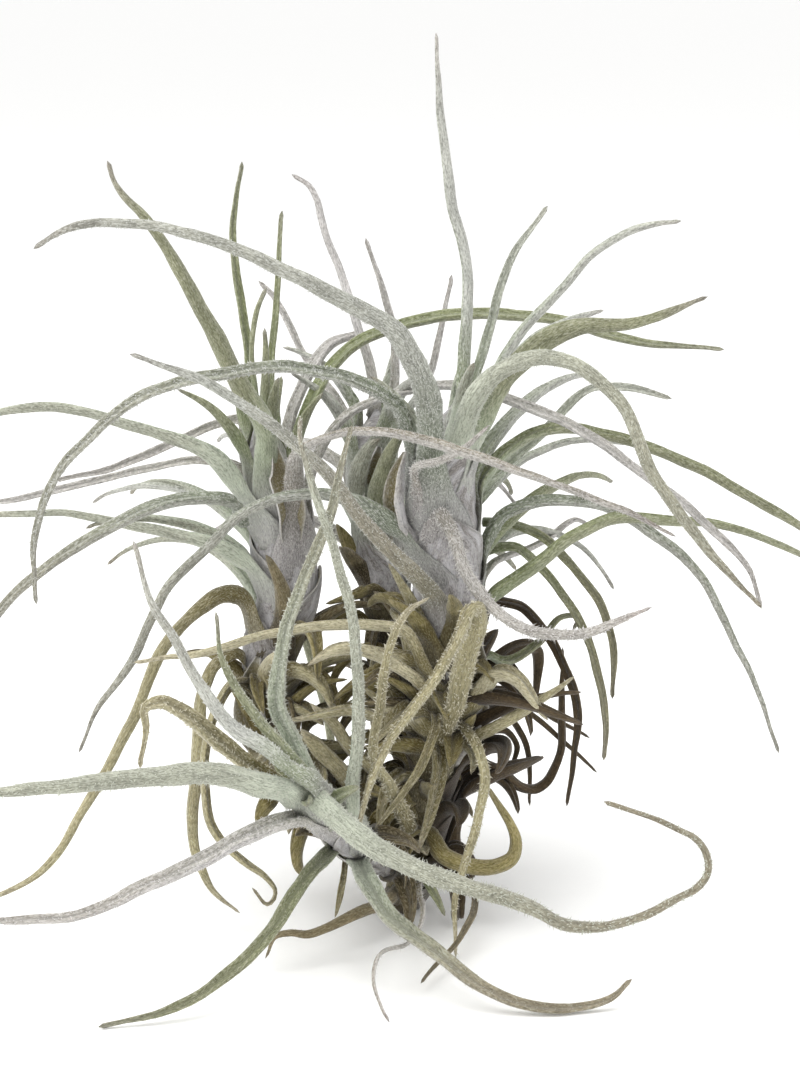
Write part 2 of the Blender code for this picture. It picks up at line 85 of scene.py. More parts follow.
# Over what length a leaf's line, width, thickness and ridges wander once.
CENTRE_WAVE, WIDTH_WAVE, THICKNESS_WAVE, RIDGE_WAVE = 26 * MM, 15 * MM, 11 * MM, 30 * MM
COARSE_RIDGES, FINE_RIDGES = 9.5, 17  # in radians from the middle of a leaf to its edge
FOOT_OUTSIDE, FOOT_INSIDE = 0.22 * MM, -0.16 * MM  # a foot's two skins, either side of its middle
FOOT_WAVE, FOOT_BULGE = 0.14 * MM, 0.8 * MM
HAIR_DEPTH = 0.06  # how deep a hair is set in the skin, in millimetres
STEM_TIP = 9 * MM  # the length over which a stem's growing tip rounds off
SHEATH_STEP = 0.8 * MM  # between two rings of a stem's skin
SHEATH_SPACING = 13 * MM
SHEATH_HEIGHTS = (13, 19)  # in millimetres
TORN_LENGTH = 4.5  # in millimetres
WHOLE_MAP = (0.02, 0.03, 0.98, 0.97)  # the part of the unit map that a piece's faces fill

FLOOR_HALF = 12.0  # in metres, so that the floor's edge is never seen
FLOOR_DROP = 0.0003  # so that the plant's lowest faces and the floor don't coincide
SCENE_MIDDLE = Vector((0, 0, 0.08))
# Softboxes: name, place, width and height, power in watts.
SOFTBOXES = (
    ("overhead_softbox", (-0.25, -0.15, 0.95), (0.9, 0.9), 8.0),
    ("left_softbox", (-0.9, -0.6, 0.5), (0.6, 0.8), 2.6),
    ("right_fill", (0.9, -0.5, 0.35), (0.7, 0.7), 0.5),
)
FOCAL_LENGTH, SENSOR_WIDTH = 108, 36
CAMERA_DISTANCE = 0.48
CAMERA_RISE = math.radians(14)


def linear(code):
    """Linear RGB of an sRGB hex value."""
    shares = [int(code[i : i + 2], 16) / 255 for i in (1, 3, 5)]
    return tuple(s / 12.92 if s <= 0.04045 else ((s + 0.055) / 1.055) ** 2.4 for s in shares)


# kind: foot, middle, tip and channel colours, hair colour, hair length in mm, hairs per square mm,
# how far grey scales cover the green below, depth of the folds along it
# The dry kinds' foot colours are partly the darker tissue of an old leaf base and partly painted shade, for
# the deep, crowded middle of the clump where their feet lie.
KINDS = {
    "silver": ("#8E957C", "#B0B1AA", "#A6A29C", "#939B82", "#D2D3CD", 0.42, 1.1, 0.55, 0.9),
    "mint": ("#B4BBA9", "#9C9E8F", "#8B8376", "#9BA590", "#C6C8BB", 0.5, 1.2, 0.55, 0.9),
    "lavender": ("#A8A59C", "#B9B6B4", "#A29D9A", "#9C9A8F", "#DAD7D6", 0.42, 1.1, 0.55, 0.9),
    "rough_grey": ("#747B6A", "#9A9B92", "#95928B", "#788069", "#CBCCC6", 0.5, 1.3, 0.6, 0.9),
    "olive": ("#9DA68E", "#828468", "#8A857C", "#6E7450", "#BDBCAE", 0.3, 1.1, 0.4, 0.8),
    "green": ("#828A68", "#878A6E", "#8E8B80", "#7C8459", "#C0C2B3", 0.33, 1.1, 0.35, 0.8),
    "khaki": ("#665D38", "#9D9674", "#A69E89", "#5A5028", "#D0CBB7", 0.3, 1.1, 0.4, 1.6),
    "pale_khaki": ("#857B52", "#B4AD90", "#ABA28B", "#665C30", "#D6D1BA", 0.3, 1.2, 0.45, 1.5),
    "deep_khaki": ("#5A5027", "#8A8052", "#958C6B", "#4E441D", "#B9B090", 0.28, 1.0, 0.35, 1.6),
    "brown": ("#41371F", "#776C50", "#7B735F", "#382F18", "#AEA48A", 0.3, 1.1, 0.35, 1.3),
    "dark_brown": ("#33260F", "#453722", "#5A4E40", "#2A1E0A", "#74664B", 0.22, 0.7, 0.2, 1.4),
    "white_fuzz": ("#88837A", "#A9A59F", "#A49C98", "#6B5F38", "#D4D1CE", 0.75, 1.9, 0.6, 0.9),
}

# The tangle of short dry leaves round the old stems: stem, kind, how many, their lowest and highest
# places as shares of the stem, the side they face and how far they stray from it in degrees, and
# their shortest and longest length in millimetres.
TANGLE = (
    ("right_stem", "deep_khaki", 20, 0.08, 0.60, -130, 95, 10, 20),
    ("right_stem", "pale_khaki", 8, 0.12, 0.58, -110, 90, 9, 18),
    ("right_stem", "brown", 14, 0.10, 0.60, 150, 70, 14, 26),
    ("right_stem", "dark_brown", 16, 0.10, 0.50, 20, 75, 12, 30),
    ("left_stem", "deep_khaki", 18, 0.10, 0.58, -50, 120, 10, 20),
    ("left_stem", "pale_khaki", 5, 0.10, 0.45, -80, 60, 9, 16),
    ("left_stem", "brown", 14, 0.05, 0.60, 30, 110, 12, 26),
    ("right_stem", "khaki", 12, 0.18, 0.56, -168, 45, 12, 22),
    ("left_stem", "khaki", 11, 0.15, 0.50, -15, 55, 11, 20),
    ("back_stem", "deep_khaki", 14, 0.10, 0.60, -90, 110, 12, 22),
    ("back_stem", "brown", 12, 0.05, 0.60, 100, 170, 12, 26),
    ("front_stem", "brown", 6, 0.10, 0.60, 90, 140, 9, 16),
    ("front_stem", "deep_khaki", 5, 0.05, 0.45, 60, 90, 8, 14),
)

# Widths of the tangle's leaves in millimetres, and in degrees how steeply they rise and how far each
# millimetre droops and swings.
TANGLE_WIDTHS, TANGLE_RISES, TANGLE_CURLS, TANGLE_SWINGS = (3.0, 5.6), (-20, 80), (0.5, 9), (-7, 7)

# Living leaves on the far side of each crown and young ones in its heart: stem, kind, number,
# lowest and highest places as shares of the stem, the side they take and how far they stray in
# degrees, shortest and longest in millimetres, and least and greatest rise in degrees.
MORE_LEAVES = (
    ("right_stem", "silver", 4, 0.66, 0.86, 75, 55, 34, 50, 20, 60),
    ("right_stem", "green", 2, 0.60, 0.80, 40, 30, 34, 50, 20, 60),
    ("right_stem", "mint", 5, 0.90, 0.97, 60, 180, 12, 26, 66, 86),
    ("left_stem", "silver", 3, 0.62, 0.86, 110, 45, 34, 50, 20, 60),
    ("left_stem", "mint", 3, 0.55, 0.80, 150, 40, 34, 50, 20, 60),
    ("left_stem", "green", 5, 0.90, 0.97, 60, 180, 12, 24, 66, 86),
    ("back_stem", "lavender", 5, 0.55, 0.88, 95, 85, 34, 50, 20, 60),
    ("back_stem", "mint", 3, 0.50, 0.75, 60, 90, 34, 50, 20, 60),
    ("back_stem", "silver", 5, 0.88, 0.97, 60, 180, 12, 26, 66, 86),
    ("front_stem", "green", 5, 0.82, 0.97, -160, 130, 9, 15, 20, 60),
)

# Their widths in millimetres, and in degrees how far each millimetre droops and swings.
MORE_WIDTHS, MORE_CURLS, MORE_SWINGS = (2.8, 4.0), (1.4, 2.8), (-0.8, 0.8)

# Dry sheaths that stand open: name, stem, lowest and highest places as shares of the stem, the side
# they face in degrees, and in millimetres their width and how far they stand off.
OPEN_SHEATHS = (
    ("left_crown_open_sheath", "left_stem", 0.74, 0.95, -72, 5.4, 3.6),
    ("left_low_open_sheath", "left_stem", 0.28, 0.50, -110, 6.2, 0.2),
    ("right_crown_open_sheath", "right_stem", 0.74, 0.90, -150, 4.6, 2.0),
    ("right_low_open_sheath", "right_stem", 0.40, 0.60, -62, 6.4, 0.2),
    ("right_side_open_sheath", "right_stem", 0.30, 0.47, -20, 5.6, 0.2),
    ("back_open_sheath", "back_stem", 0.62, 0.92, -80, 6.0, 0.2),
    ("back_side_open_sheath", "back_stem", 0.45, 0.75, 80, 6.0, 0.2),
)

# Leaves whose hairs stand out most: length, number and width, as shares of the usual.
SHAGGY = {
    "right_fuzzy_front_leaf": (1.25, 1.0, 2.6),
    "right_mint_drooper": (1.2, 1.0, 2.0),
    "front_right_leaf": (1.5, 1.2, 2.6),
    "front_grey_leaf": (1.2, 1.0, 2.0),
    "front_crossing_leaf": (1.0, 1.0, 2.0),
    "high_crossing_leaf": (1.1, 1.2, 2.1),
    "middle_crossing_leaf": (1.4, 1.2, 2.2),
    "old_folded_leaf": (3.0, 0.9, 3.2),
    "old_curled_leaf": (3.0, 1.0, 3.0),
    "old_hanging_leaf": (2.8, 0.9, 3.0),
    "front_bent_brown_leaf": (2.4, 1.0, 2.6),
    "front_silver_leaf": (1.4, 1.1, 2.2),
    "front_high_thin_leaf": (2.0, 1.1, 2.6),
    "front_high_left_leaf": (1.3, 1.2, 2.2),
    "front_upright_leaf_a": (1.3, 1.2, 2.4),
    "front_upright_leaf_b": (1.3, 1.2, 2.6),
    "front_fuzz_leaf": (1.0, 1.2, 2.0),
}

# The same for the leaves of the tangle.
TANGLE_HAIRS = (1, 0.6, 1.3)

DRY_KINDS = ("khaki", "pale_khaki", "deep_khaki", "brown", "dark_brown")

# Width of a leaf just behind its tip, in millimetres. Living leaves end bluntly, dry ones finely.
TIP_WIDTH = dict.fromkeys(KINDS, 0.95)
TIP_WIDTH |= {"dark_brown": 0.5, "khaki": 0.6, "deep_khaki": 0.6, "brown": 0.6, "white_fuzz": 0.7}

# Heights in millimetres under which a stem's sheaths are dry and brown.
OLD_BELOW = {"right_stem": 64, "left_stem": 60, "back_stem": 66, "front_stem": 0}

# Leaves whose base is torn and doesn't wrap its stem.
TORN = ("front_right_leaf", "front_under_leaf", "front_low_left_leaf")

# Leaves whose finish has aged away from that of their kind.
AGED = {
    "front_bent_brown_leaf": "pale_khaki",
    "front_high_thin_leaf": "green",
    "old_bridging_leaf": "pale_khaki",
    "front_upright_leaf_b": "mint",
    "old_looped_leaf": "deep_khaki",
    "right_brown_arch": "rough_grey",
}

# How far a leaf has dried to tan towards its tip, from 0 to 1. Below 0 its foot has dried instead.
DRYNESS = {
    "front_under_leaf": 0.95,
    "front_right_leaf": 0.85,
    "right_mint_drooper": 0.45,
    "front_grey_leaf": 0.3,
    "front_high_left_leaf": 0.3,
    "front_upright_leaf_a": 0.5,
    "left_down_leaf": 0.3,
    "right_falling_leaf_a": 0.5,
    "right_falling_leaf_b": 0.5,
    "left_bold_leaf": 0.4,
    "high_crossing_leaf": 0.15,
    "middle_crossing_leaf": 0.3,
    "front_crossing_leaf": -0.7,
}

# Short, thin and half hidden leaves: name, kind, then x, y, z and width from the foot to the tip.
SMALL_LEAVES = (
    ("grey_back_leaf", "lavender", (-24, 22, 92, 2.5), (-23, 25, 98, 2.7), (-20, 30, 105, 2.7),
     (-15, 36, 112, 2.7), (-8, 43, 114, 1.4)),
    ("right_behind_leaf", "silver", (16, 11, 84, 2.2), (22, 20, 88, 2.2), (28, 25, 91, 2.0),
     (37, 29, 93, 1.8), (53, 33, 91, 0.7)),
    ("left_tiny_leaf", "green", (-29, 14, 103, 1.3), (-30, 15, 115, 1.1), (-29, 16, 122, 1.1),
     (-27, 17, 127, 0.7)),
    ("left_inner_leaf", "green", (-27, 10, 101, 2.4), (-27, 9, 107, 2.0), (-27, 9, 115, 1.3),
     (-27, 9, 120, 0.6)),
    ("right_stub_leaf", "silver", (17, 7, 106, 1.9), (22, 11, 113, 2.2), (29, 17, 118, 2.0),
     (36, 22, 120, 2.0), (42, 26, 121, 0.9)),
    ("right_grey_leaf", "lavender", (17, 9, 69, 2.0), (20, 13, 71, 1.8), (31, 23, 73, 1.6),
     (37, 28, 76, 1.4), (41, 30, 74, 0.7)),
    ("right_curl_leaf", "olive", (17, 9, 53, 2.2), (22, 11, 50, 2.2), (29, 14, 53, 1.8), (33, 15, 58, 1.3),
     (37, 16, 58, 1.1), (36, 16, 55, 0.7)),
    ("front_fuzz_leaf", "white_fuzz", (3, -6, 92, 1.5), (3, -11, 96, 1.5), (8, -14, 98, 1.5),
     (13, -15, 101, 1.2), (17, -15, 105, 0.4)),
    ("back_thin_leaf", "lavender", (-3, 36, 93, 1.8), (5, 40, 102, 1.8), (8, 41, 111, 1.6),
     (11, 43, 126, 0.7)),
    ("back_green_leaf", "green", (-5, 25, 77, 4.5), (-4, 20, 85, 4.5), (-2, 18, 92, 3.1), (1, 18, 98, 0.9)),
    ("back_sheath_leaf", "mint", (-8, 26, 78, 4.1), (-9, 22, 86, 4.0), (-7, 21, 92, 2.9),
     (-4, 21, 95, 0.9)),
    ("old_hanging_leaf_b", "khaki", (7, -3, 44, 2.2), (7, -9, 42, 1.9), (3, -15, 34, 1.7),
     (-5, -18, 24, 0.6)),
    ("old_hanging_leaf_c", "khaki", (7, -2, 38, 3.1), (8, -7, 34, 3.3), (7, -9, 28, 3.0),
     (4, -13, 18, 0.9)),
    ("old_pale_leaf", "pale_khaki", (6, -4, 48, 2.8), (1, -9, 54, 3.0), (-7, -14, 60, 3.4),
     (-13, -17, 61, 2.9), (-18, -18, 58, 0.8)),
    ("old_left_leaf", "khaki", (4, 1, 38, 3.1), (-2, -6, 43, 3.0), (-10, -13, 47, 2.8),
     (-22, -16, 46, 0.9)),
    ("old_middle_leaf_a", "khaki", (-8, -1, 24, 3.1), (-12, -4, 31, 3.5), (-17, -5, 37, 3.3),
     (-20, -6, 41, 1.1)),
    ("old_middle_leaf_b", "khaki", (0, 1, 25, 3.1), (-10, -3, 36, 3.1), (-14, -4, 42, 2.8),
     (-18, -5, 46, 1.1)),
    ("old_thin_leaf", "khaki", (-11, -10, 16, 1.3), (-11, -15, 14, 1.3), (-12, -18, 10, 1.3),
     (-13, -20, 6, 0.4)),
    ("old_point_leaf", "green", (4, -6, 11, 2.2), (6, -12, 10, 2.2), (8, -16, 8, 1.5), (9, -19, 6, 0.4)),
    ("old_low_brown_leaf", "brown", (9, -1, 13, 1.6), (15, -12, 8, 1.5), (13, -25, 6, 1.3),
     (4, -42, 2, 0.6)),
    ("low_curling_leaf", "white_fuzz", (4, -10, 10, 1.1), (4, -33, 10, 1.0), (1, -40, 9, 1.0),
     (-4, -49, 11, 1.0), (-5, -53, 7, 0.8), (-2, -56, 0.6, 0.4)),
    ("dark_broad_leaf", "dark_brown", (17, 13, 47, 3.4), (24, 20, 50, 3.4), (29, 23, 49, 3.2),
     (29, 25, 37, 1.2)),
    ("dark_leaf_a", "dark_brown", (14, 12, 33, 1.8), (22, 17, 33, 1.8), (25, 18, 29, 1.6),
     (23, 18, 23, 0.7)),
    ("dark_leaf_b", "dark_brown", (15, 13, 38, 1.8), (23, 20, 35, 1.8), (27, 22, 28, 1.6),
     (28, 22, 14, 0.7)),
    ("dark_leaf_c", "dark_brown", (15, 9, 42, 1.6), (24, 14, 40, 1.6), (34, 17, 31, 1.4),
     (42, 18, 23, 0.7)),
    ("dark_leaf_d", "dark_brown", (15, 13, 43, 1.6), (25, 21, 40, 1.6), (33, 25, 33, 1.4),
     (41, 26, 28, 0.7)),
    ("olive_right_leaf", "khaki", (13, -2, 37, 2.9), (19, -5, 41, 3.1), (28, -6, 47, 2.2),
     (35, -6, 52, 0.6)),
)


# ---------------------------------------------------------------- settings


class AirPlantShape(bpy.types.PropertyGroup):
    """Sizes that every leaf and stem shares."""

    step: FloatProperty(
        name="Leaf step", description="Distance between two rings along a leaf", default=STEP, unit="LENGTH"
    )
    wander: FloatProperty(
        name="Wander", description="How far a leaf strays from a smooth line",
        default=0.22 * MM, unit="LENGTH",
    )
    width_wander: FloatProperty(
        name="Width wander", description="How much a leaf's width varies along it",
        default=0.07, subtype="FACTOR",
    )
    clasp_height: FloatProperty(
        name="Foot height", description="How far a leaf's broad foot runs down its stem",
        default=12 * MM, unit="LENGTH",
    )
    hair_length: FloatProperty(
        name="Hair length", description="Length of the silver hairs, as a share of each leaf's own",
        default=1.0, subtype="FACTOR",
    )
    hair_number: FloatProperty(
        name="Hair number", description="Number of silver hairs, as a share of each leaf's own",
        default=1.0, subtype="FACTOR",
    )
    hair_width: FloatProperty(
        name="Hair width", description="Width of a hair at its foot", default=0.1 * MM, unit="LENGTH"
    )
    seed: IntProperty(name="Seed", description="Starting number of every random choice", default=7)


def colour_property(name, description, code):
    return FloatVectorProperty(
        name=name, description=description, subtype="COLOR", size=3, min=0, max=1, default=linear(code)
    )


def finish_group(kind):
    """A PropertyGroup that holds one kind of leaf's colours."""
    foot, middle, tip, channel, hair = KINDS[kind][:5]
    label = kind.replace("_", " ")
    fields = {
        # For the dry kinds the foot colour holds painted shade of the clump's depths over the base's own
        # darker tone.
        "foot": colour_property("Foot", f"The {label} leaf's colour where it leaves the stem", foot),
        "middle": colour_property("Middle", f"The {label} leaf's colour along most of it", middle),
        "tip": colour_property("Tip", f"The {label} leaf's colour at its dry tip", tip),
        "channel": colour_property("Channel", f"The {label} leaf's colour in its channel", channel),
        "hair": colour_property("Hairs", f"The colour of the {label} leaf's hairs", hair),
    }
    return type(f"AirPlant_{kind}", (bpy.types.PropertyGroup,), {"__annotations__": fields})


FINISH_GROUPS = {kind: finish_group(kind) for kind in KINDS}


class AirPlantSheath(bpy.types.PropertyGroup):
    """Colours of the dry sheaths round the stems, and of the stage."""

    felt: colour_property("Felt", "The sheath's silver outer side", "#C0BEC1")
    # The shade colour is the felt's colour as seen in shadow: painted shade, laid in random patches over the
    # sheaths and the clasping feet.
    shade: colour_property("Bare patches", "Where the felt has worn off the sheath", "#85807E")
    inner: colour_property("Inner side", "The sheath's papery inner side", "#877E5E")
    dry: colour_property("Dried leaf", "A living leaf's dried end", "#857B66")
    rim: colour_property("Rim", "The sheath's pale dry edge", "#C9C6C0")
    old: colour_property("Old stem", "The oldest, lowest stem", "#40371F")
    floor: colour_property("Floor", "The pale studio floor", "#FDFDFC")


class AirPlantSettings(bpy.types.PropertyGroup):
    """All of the plant's settings."""

    shape: PointerProperty(type=AirPlantShape, name="Shape", description="Sizes")
    sheath: PointerProperty(type=AirPlantSheath, name="Sheaths", description="Sheath and stage colours")
    __annotations__.update(
        {
            kind: PointerProperty(type=group, name=kind, description=f"Colours of a {kind} leaf")
            for kind, group in FINISH_GROUPS.items()
        }
    )


def settings():
    """The plant's settings in this scene."""
    return bpy.context.scene.air_plant


# ---------------------------------------------------------------- vectors and lines


def unit(v):
    """Vectors of length 1."""
    return v / np.maximum(np.linalg.norm(v, axis=-1, keepdims=True), 1e-12)


def across(v, along):
    """The part of v that is square to along, as unit vectors."""
    return unit(v - (v * along).sum(-1, keepdims=True) * along)


def ease(x):
    """A smooth step from 0 to 1."""
    x = np.clip(x, 0, 1)
    return x * x * (3 - 2 * x)


def hermite(t):
    """What the start, its slope, the end and its slope count for at the share t of a smooth curve."""
    return 2 * t**3 - 3 * t**2 + 1, t**3 - 2 * t**2 + t, 3 * t**2 - 2 * t**3, t**3 - t**2


def resample(knots, step):
    """Rows of numbers whose first three are a point, resampled every step along a smooth curve."""
    s = np.concatenate([[0], np.cumsum(np.linalg.norm(np.diff(knots[:, :3], axis=0), axis=1))])
    slope = np.empty_like(knots)
    slope[1:-1] = (knots[2:] - knots[:-2]) / (s[2:] - s[:-2])[:, None]
    slope[0] = (knots[1] - knots[0]) / (s[1] - s[0])
    slope[-1] = (knots[-1] - knots[-2]) / (s[-1] - s[-2])
    at = np.linspace(0, s[-1], max(8, int(s[-1] / step)) + 1)
    i = np.clip(np.searchsorted(s, at, side="right") - 1, 0, len(s) - 2)
    span = (s[i + 1] - s[i])[:, None]
    t = (at - s[i])[:, None] / span
    a, b, c, d = hermite(t)
    return a * knots[i] + b * span * slope[i] + c * knots[i + 1] + d * span * slope[i + 1]


def drift(s, rng, wavelength):
    """A smooth random curve between about -1 and 1."""
    total = np.zeros_like(s)
    for share in (1.0, 0.6, 0.37):
        total += share * np.sin(TURN * (s / (wavelength * share) + rng.random()))
    return total / 2


def rings_of(node, sides):
    """A CAD node's rings of vertices, from its foot to its tip."""
    mesh = frame["nodes"][node].data
    co = np.empty(len(mesh.vertices) * 3)
    mesh.vertices.foreach_get("co", co)
    points, index = np.unique(np.round(co.reshape(-1, 3), 6), axis=0, return_inverse=True)
    index = index.reshape(-1)
    near = [set() for _ in points]
    for edge in mesh.edges:
        a, b = (int(index[v]) for v in edge.vertices)
        if a != b:
            near[a].add(b)
            near[b].add(a)
    # Rings are flat, and a ring that lost a corner on a straight stretch isn't one. So the rings are
    # counted from each end, up to the first that isn't whole.
    runs = []
    for start in range(len(points)):
        last, seen, run = [start], {start}, []
        while True:
            last = sorted(set().union(*(near[v] for v in last)) - seen)
            if len(last) != sides:
                break
            ring = points[last]
            if np.linalg.svd(ring - ring.mean(0), compute_uv=False)[2] > FLAT:
                break
            seen |= set(last)
            run.append(ring)
        runs.append(run)
    runs.sort(key=len)
    rings = runs[-1]
    if len(rings) * sides < len(points) - 2:
        rings = rings + runs[-2][::-1]
    if (len(rings) + 2) * sides < len(points) - 2:
        raise ValueError(f"{node} has no rings of {sides}")

    def girth(layers):
        return sum(np.ptp(ring, axis=0).max() for ring in layers[:3])

    # Both ends find the same rings, the tip's in reverse.
    return rings if girth(rings) > girth(rings[::-1]) else rings[::-1]


def leaf_path(node, step):
    """A leaf's centre, width, half thickness and upper side, smoothly along it."""
    rows = []
    for ring in rings_of(node, FRAME_LEAF_SIDES):
        gaps = np.linalg.norm(ring[:, None] - ring[None], axis=2)
        a, b = np.unravel_index(gaps.argmax(), gaps.shape)
        centre = ring.mean(0)
        down = centre - (ring[a] + ring[b]) / 2
        rows.append([*centre, gaps[a, b], np.linalg.norm(down) / RING_SAG, *(-unit(down))])
    rows = np.array(rows)
    last = rows[-1].copy()
    last[:3] += unit(rows[-1, :3] - rows[-2, :3]) * POINT_LENGTH * MM
    last[3:5] = (POINT_WIDTH, POINT_THICKNESS)
    return resample(np.vstack([rows, last]), step)


def table_path(points, toward, step):
    """The same for a leaf given as waypoints. Its channel starts facing the point toward."""
    path = resample(np.array(points, float) * MM, step)
    tangent = unit(np.gradient(path[:, :3], axis=0))
    ups = [across(toward - path[:1, :3], tangent[:1])[0]]
    for t in tangent[1:]:
        ups.append(across(ups[-1][None], t[None])[0])
    width = np.maximum(path[:, 3], POINT_WIDTH)
    return np.column_stack([path[:, :3], width, 0.4 * width, np.array(ups)])


def drooping_path(stem, s, heading, length, width, rise, curl, swing):
    """A leaf that leaves its stem at a slope, then droops and curls under. Angles are in radians."""
    axis, radius, ahead = stem.at(s)
    count = max(10, int(length / STEP))
    ring = np.arange(count)
    slopes = np.maximum(rise - curl * ring * STEP / MM, STEEPEST)
    headings = heading + swing * ring * STEP / MM
    flat = np.cos(slopes)
    moves = np.column_stack([flat * np.cos(headings), flat * np.sin(headings), np.sin(slopes)])
    out = np.array([math.cos(heading), math.sin(heading), 0])
    line = axis + out * radius + np.cumsum(moves * STEP, axis=0)
    line[:, 2] = np.maximum(line[:, 2], LOWEST)
    share = np.linspace(0, 1, count)
    rows = np.column_stack([line, width * (1 - 0.8 * share**1.5)])
    return table_path(rows / MM, axis + ahead * SIGHT * MM, STEP)


class Stem:
    """A stem's axis and radius, smoothly along it."""

    def __init__(self, node):
        rows = [
            [*ring.mean(0), np.linalg.norm(ring - ring.mean(0), axis=1).mean()]
            for ring in rings_of(node, FRAME_STEM_SIDES)
        ]
        rows.sort(key=lambda row: row[2])
        self.rows = resample(np.array(rows), STEM_STEP)
        self.tangent = unit(np.gradient(self.rows[:, :3], axis=0))
        self.length = STEM_STEP * (len(self.rows) - 1)
        self.grid = np.linspace(0, self.length, len(self.rows))

    def at(self, s):
        """Centres, radii and tangents at the given lengths from the foot."""
        row = np.stack([np.interp(s, self.grid, self.rows[:, k]) for k in range(4)], axis=-1)
        tangent = np.stack([np.interp(s, self.grid, self.tangent[:, k]) for k in range(3)], axis=-1)
        return row[..., :3], row[..., 3], unit(tangent)

    def facing(self, s, heading):
        """The same, with the direction out of the stem to a heading and the one round the stem."""
        axis, radius, ahead = self.at(s)
        out = across(np.broadcast_to([math.cos(heading), math.sin(heading), 0], ahead.shape), ahead)
        return axis, radius, ahead, out, np.cross(ahead, out)

    def nearest(self, point):
        """The length along the stem that is nearest to a point, and the gap to its skin."""
        gaps = np.linalg.norm(self.rows[:, :3] - point, axis=1) - self.rows[:, 3]
        return gaps.argmin() * self.length / (len(self.rows) - 1), gaps.min()


STEM_OF = {name: Stem(name) for name in frame["nodes"] if name.endswith("_stem")}


def home_stem(point):
    """The stem nearest to a point, the length along it and the gap."""
    best = min(STEM_OF.values(), key=lambda stem: stem.nearest(point)[1])
    return best, *best.nearest(point)


# ---------------------------------------------------------------- meshes


def stood(name, data):
    """A new object in the scene."""
    made = bpy.data.objects.new(name, data)
    bpy.context.scene.collection.objects.link(made)
    return made


class Surface:
    """Vertices, faces, texture places and marks gathered for one object."""

    def __init__(self):
        self.points = []
        self.faces = []
        self.maps = []
        self.place = []
        self.marks = []
        self.count = 0

    def tube(self, points, place, marks, box=WHOLE_MAP):
        """Adds rings of points with a fan at each end. box is where its faces lie in the unit map."""
        rows, columns = points.shape[:2]
        index = self.count + np.arange(rows * columns).reshape(rows, columns)
        self.add_points(points.reshape(-1, 3), place.reshape(-1, 3), marks.reshape(-1, 3))
        lanes = max(1, int(round(math.sqrt(rows / columns * 0.7))))
        per = math.ceil((rows - 1) / lanes)
        x0, y0, x1, y1 = box
        size = (x1 - x0) / lanes * 0.96
        for i in range(rows - 1):
            lane, row = divmod(i, per)
            left = x0 + (x1 - x0) * lane / lanes
            v0, v1 = (y0 + (y1 - y0) * r / per for r in (row, row + 1))
            for j in range(columns):
                k = (j + 1) % columns
                self.faces.append((index[i, j], index[i, k], index[i + 1, k], index[i + 1, j]))
                u0, u1 = (left + size * c / columns for c in (j, j + 1))
                self.maps.append(((u0, v0), (u1, v0), (u1, v1), (u0, v1)))
        for i, v in ((0, y0 - 0.012), (rows - 1, y1 + 0.004)):
            hub = self.count
            self.add_points(points[i].mean(0)[None], place[i].mean(0)[None], marks[i].mean(0)[None])
            for j in range(columns):
                edge = (index[i, j], index[i, (j + 1) % columns])
                self.faces.append((*(edge if i else edge[::-1]), hub))
                u = x0 + (x1 - x0) * j / columns
                self.maps.append(((u, v), (u + 0.006, v), (u + 0.003, v + 0.006)))

    def add_points(self, points, place, marks):
        self.points.append(points)
        self.place.append(place)
        self.marks.append(marks)
        self.count += len(points)

    def build(self, name, material):
        """All that was gathered, as one object."""
        points = np.concatenate(self.points)
        points[:, 2] = np.maximum(points[:, 2], 0)
        mesh = bpy.data.meshes.new(name)
        mesh.from_pydata(points.tolist(), [], [tuple(int(v) for v in f) for f in self.faces])
        layer = mesh.uv_layers.new(name="OFBake")
        layer.data.foreach_set("uv", np.array([uv for face in self.maps for uv in face]).ravel())
        for label, rows in (("leaf_place", self.place), ("leaf_marks", self.marks)):
            attribute = mesh.attributes.new(label, "FLOAT_VECTOR", "POINT")
            attribute.data.foreach_set("vector", np.concatenate(rows).astype(np.float32).ravel())
        mesh.polygons.foreach_set("use_smooth", [True] * len(mesh.polygons))
        mesh.materials.append(material)
        mesh.update()
        return stood(name, mesh)


def faces_out(points):
    """Whether the faces of a tube of these rings point out."""
    centre = points.mean(1, keepdims=True)
    a = points - centre
    b = np.roll(points, -1, axis=1) - centre
    ahead = np.gradient(centre[:, 0], axis=0)[:, None]
    return (np.cross(a, b) * ahead).sum() > 0


def section(u, back):
    """Height of a leaf's section at the share u across it, as a share of half its thickness."""
    if back:
        return 0.35 - 1.35 * np.sqrt(np.maximum(1 - u**2, 0))
    return 0.22 + 1.2 * u**2 - 1.07 * u**6


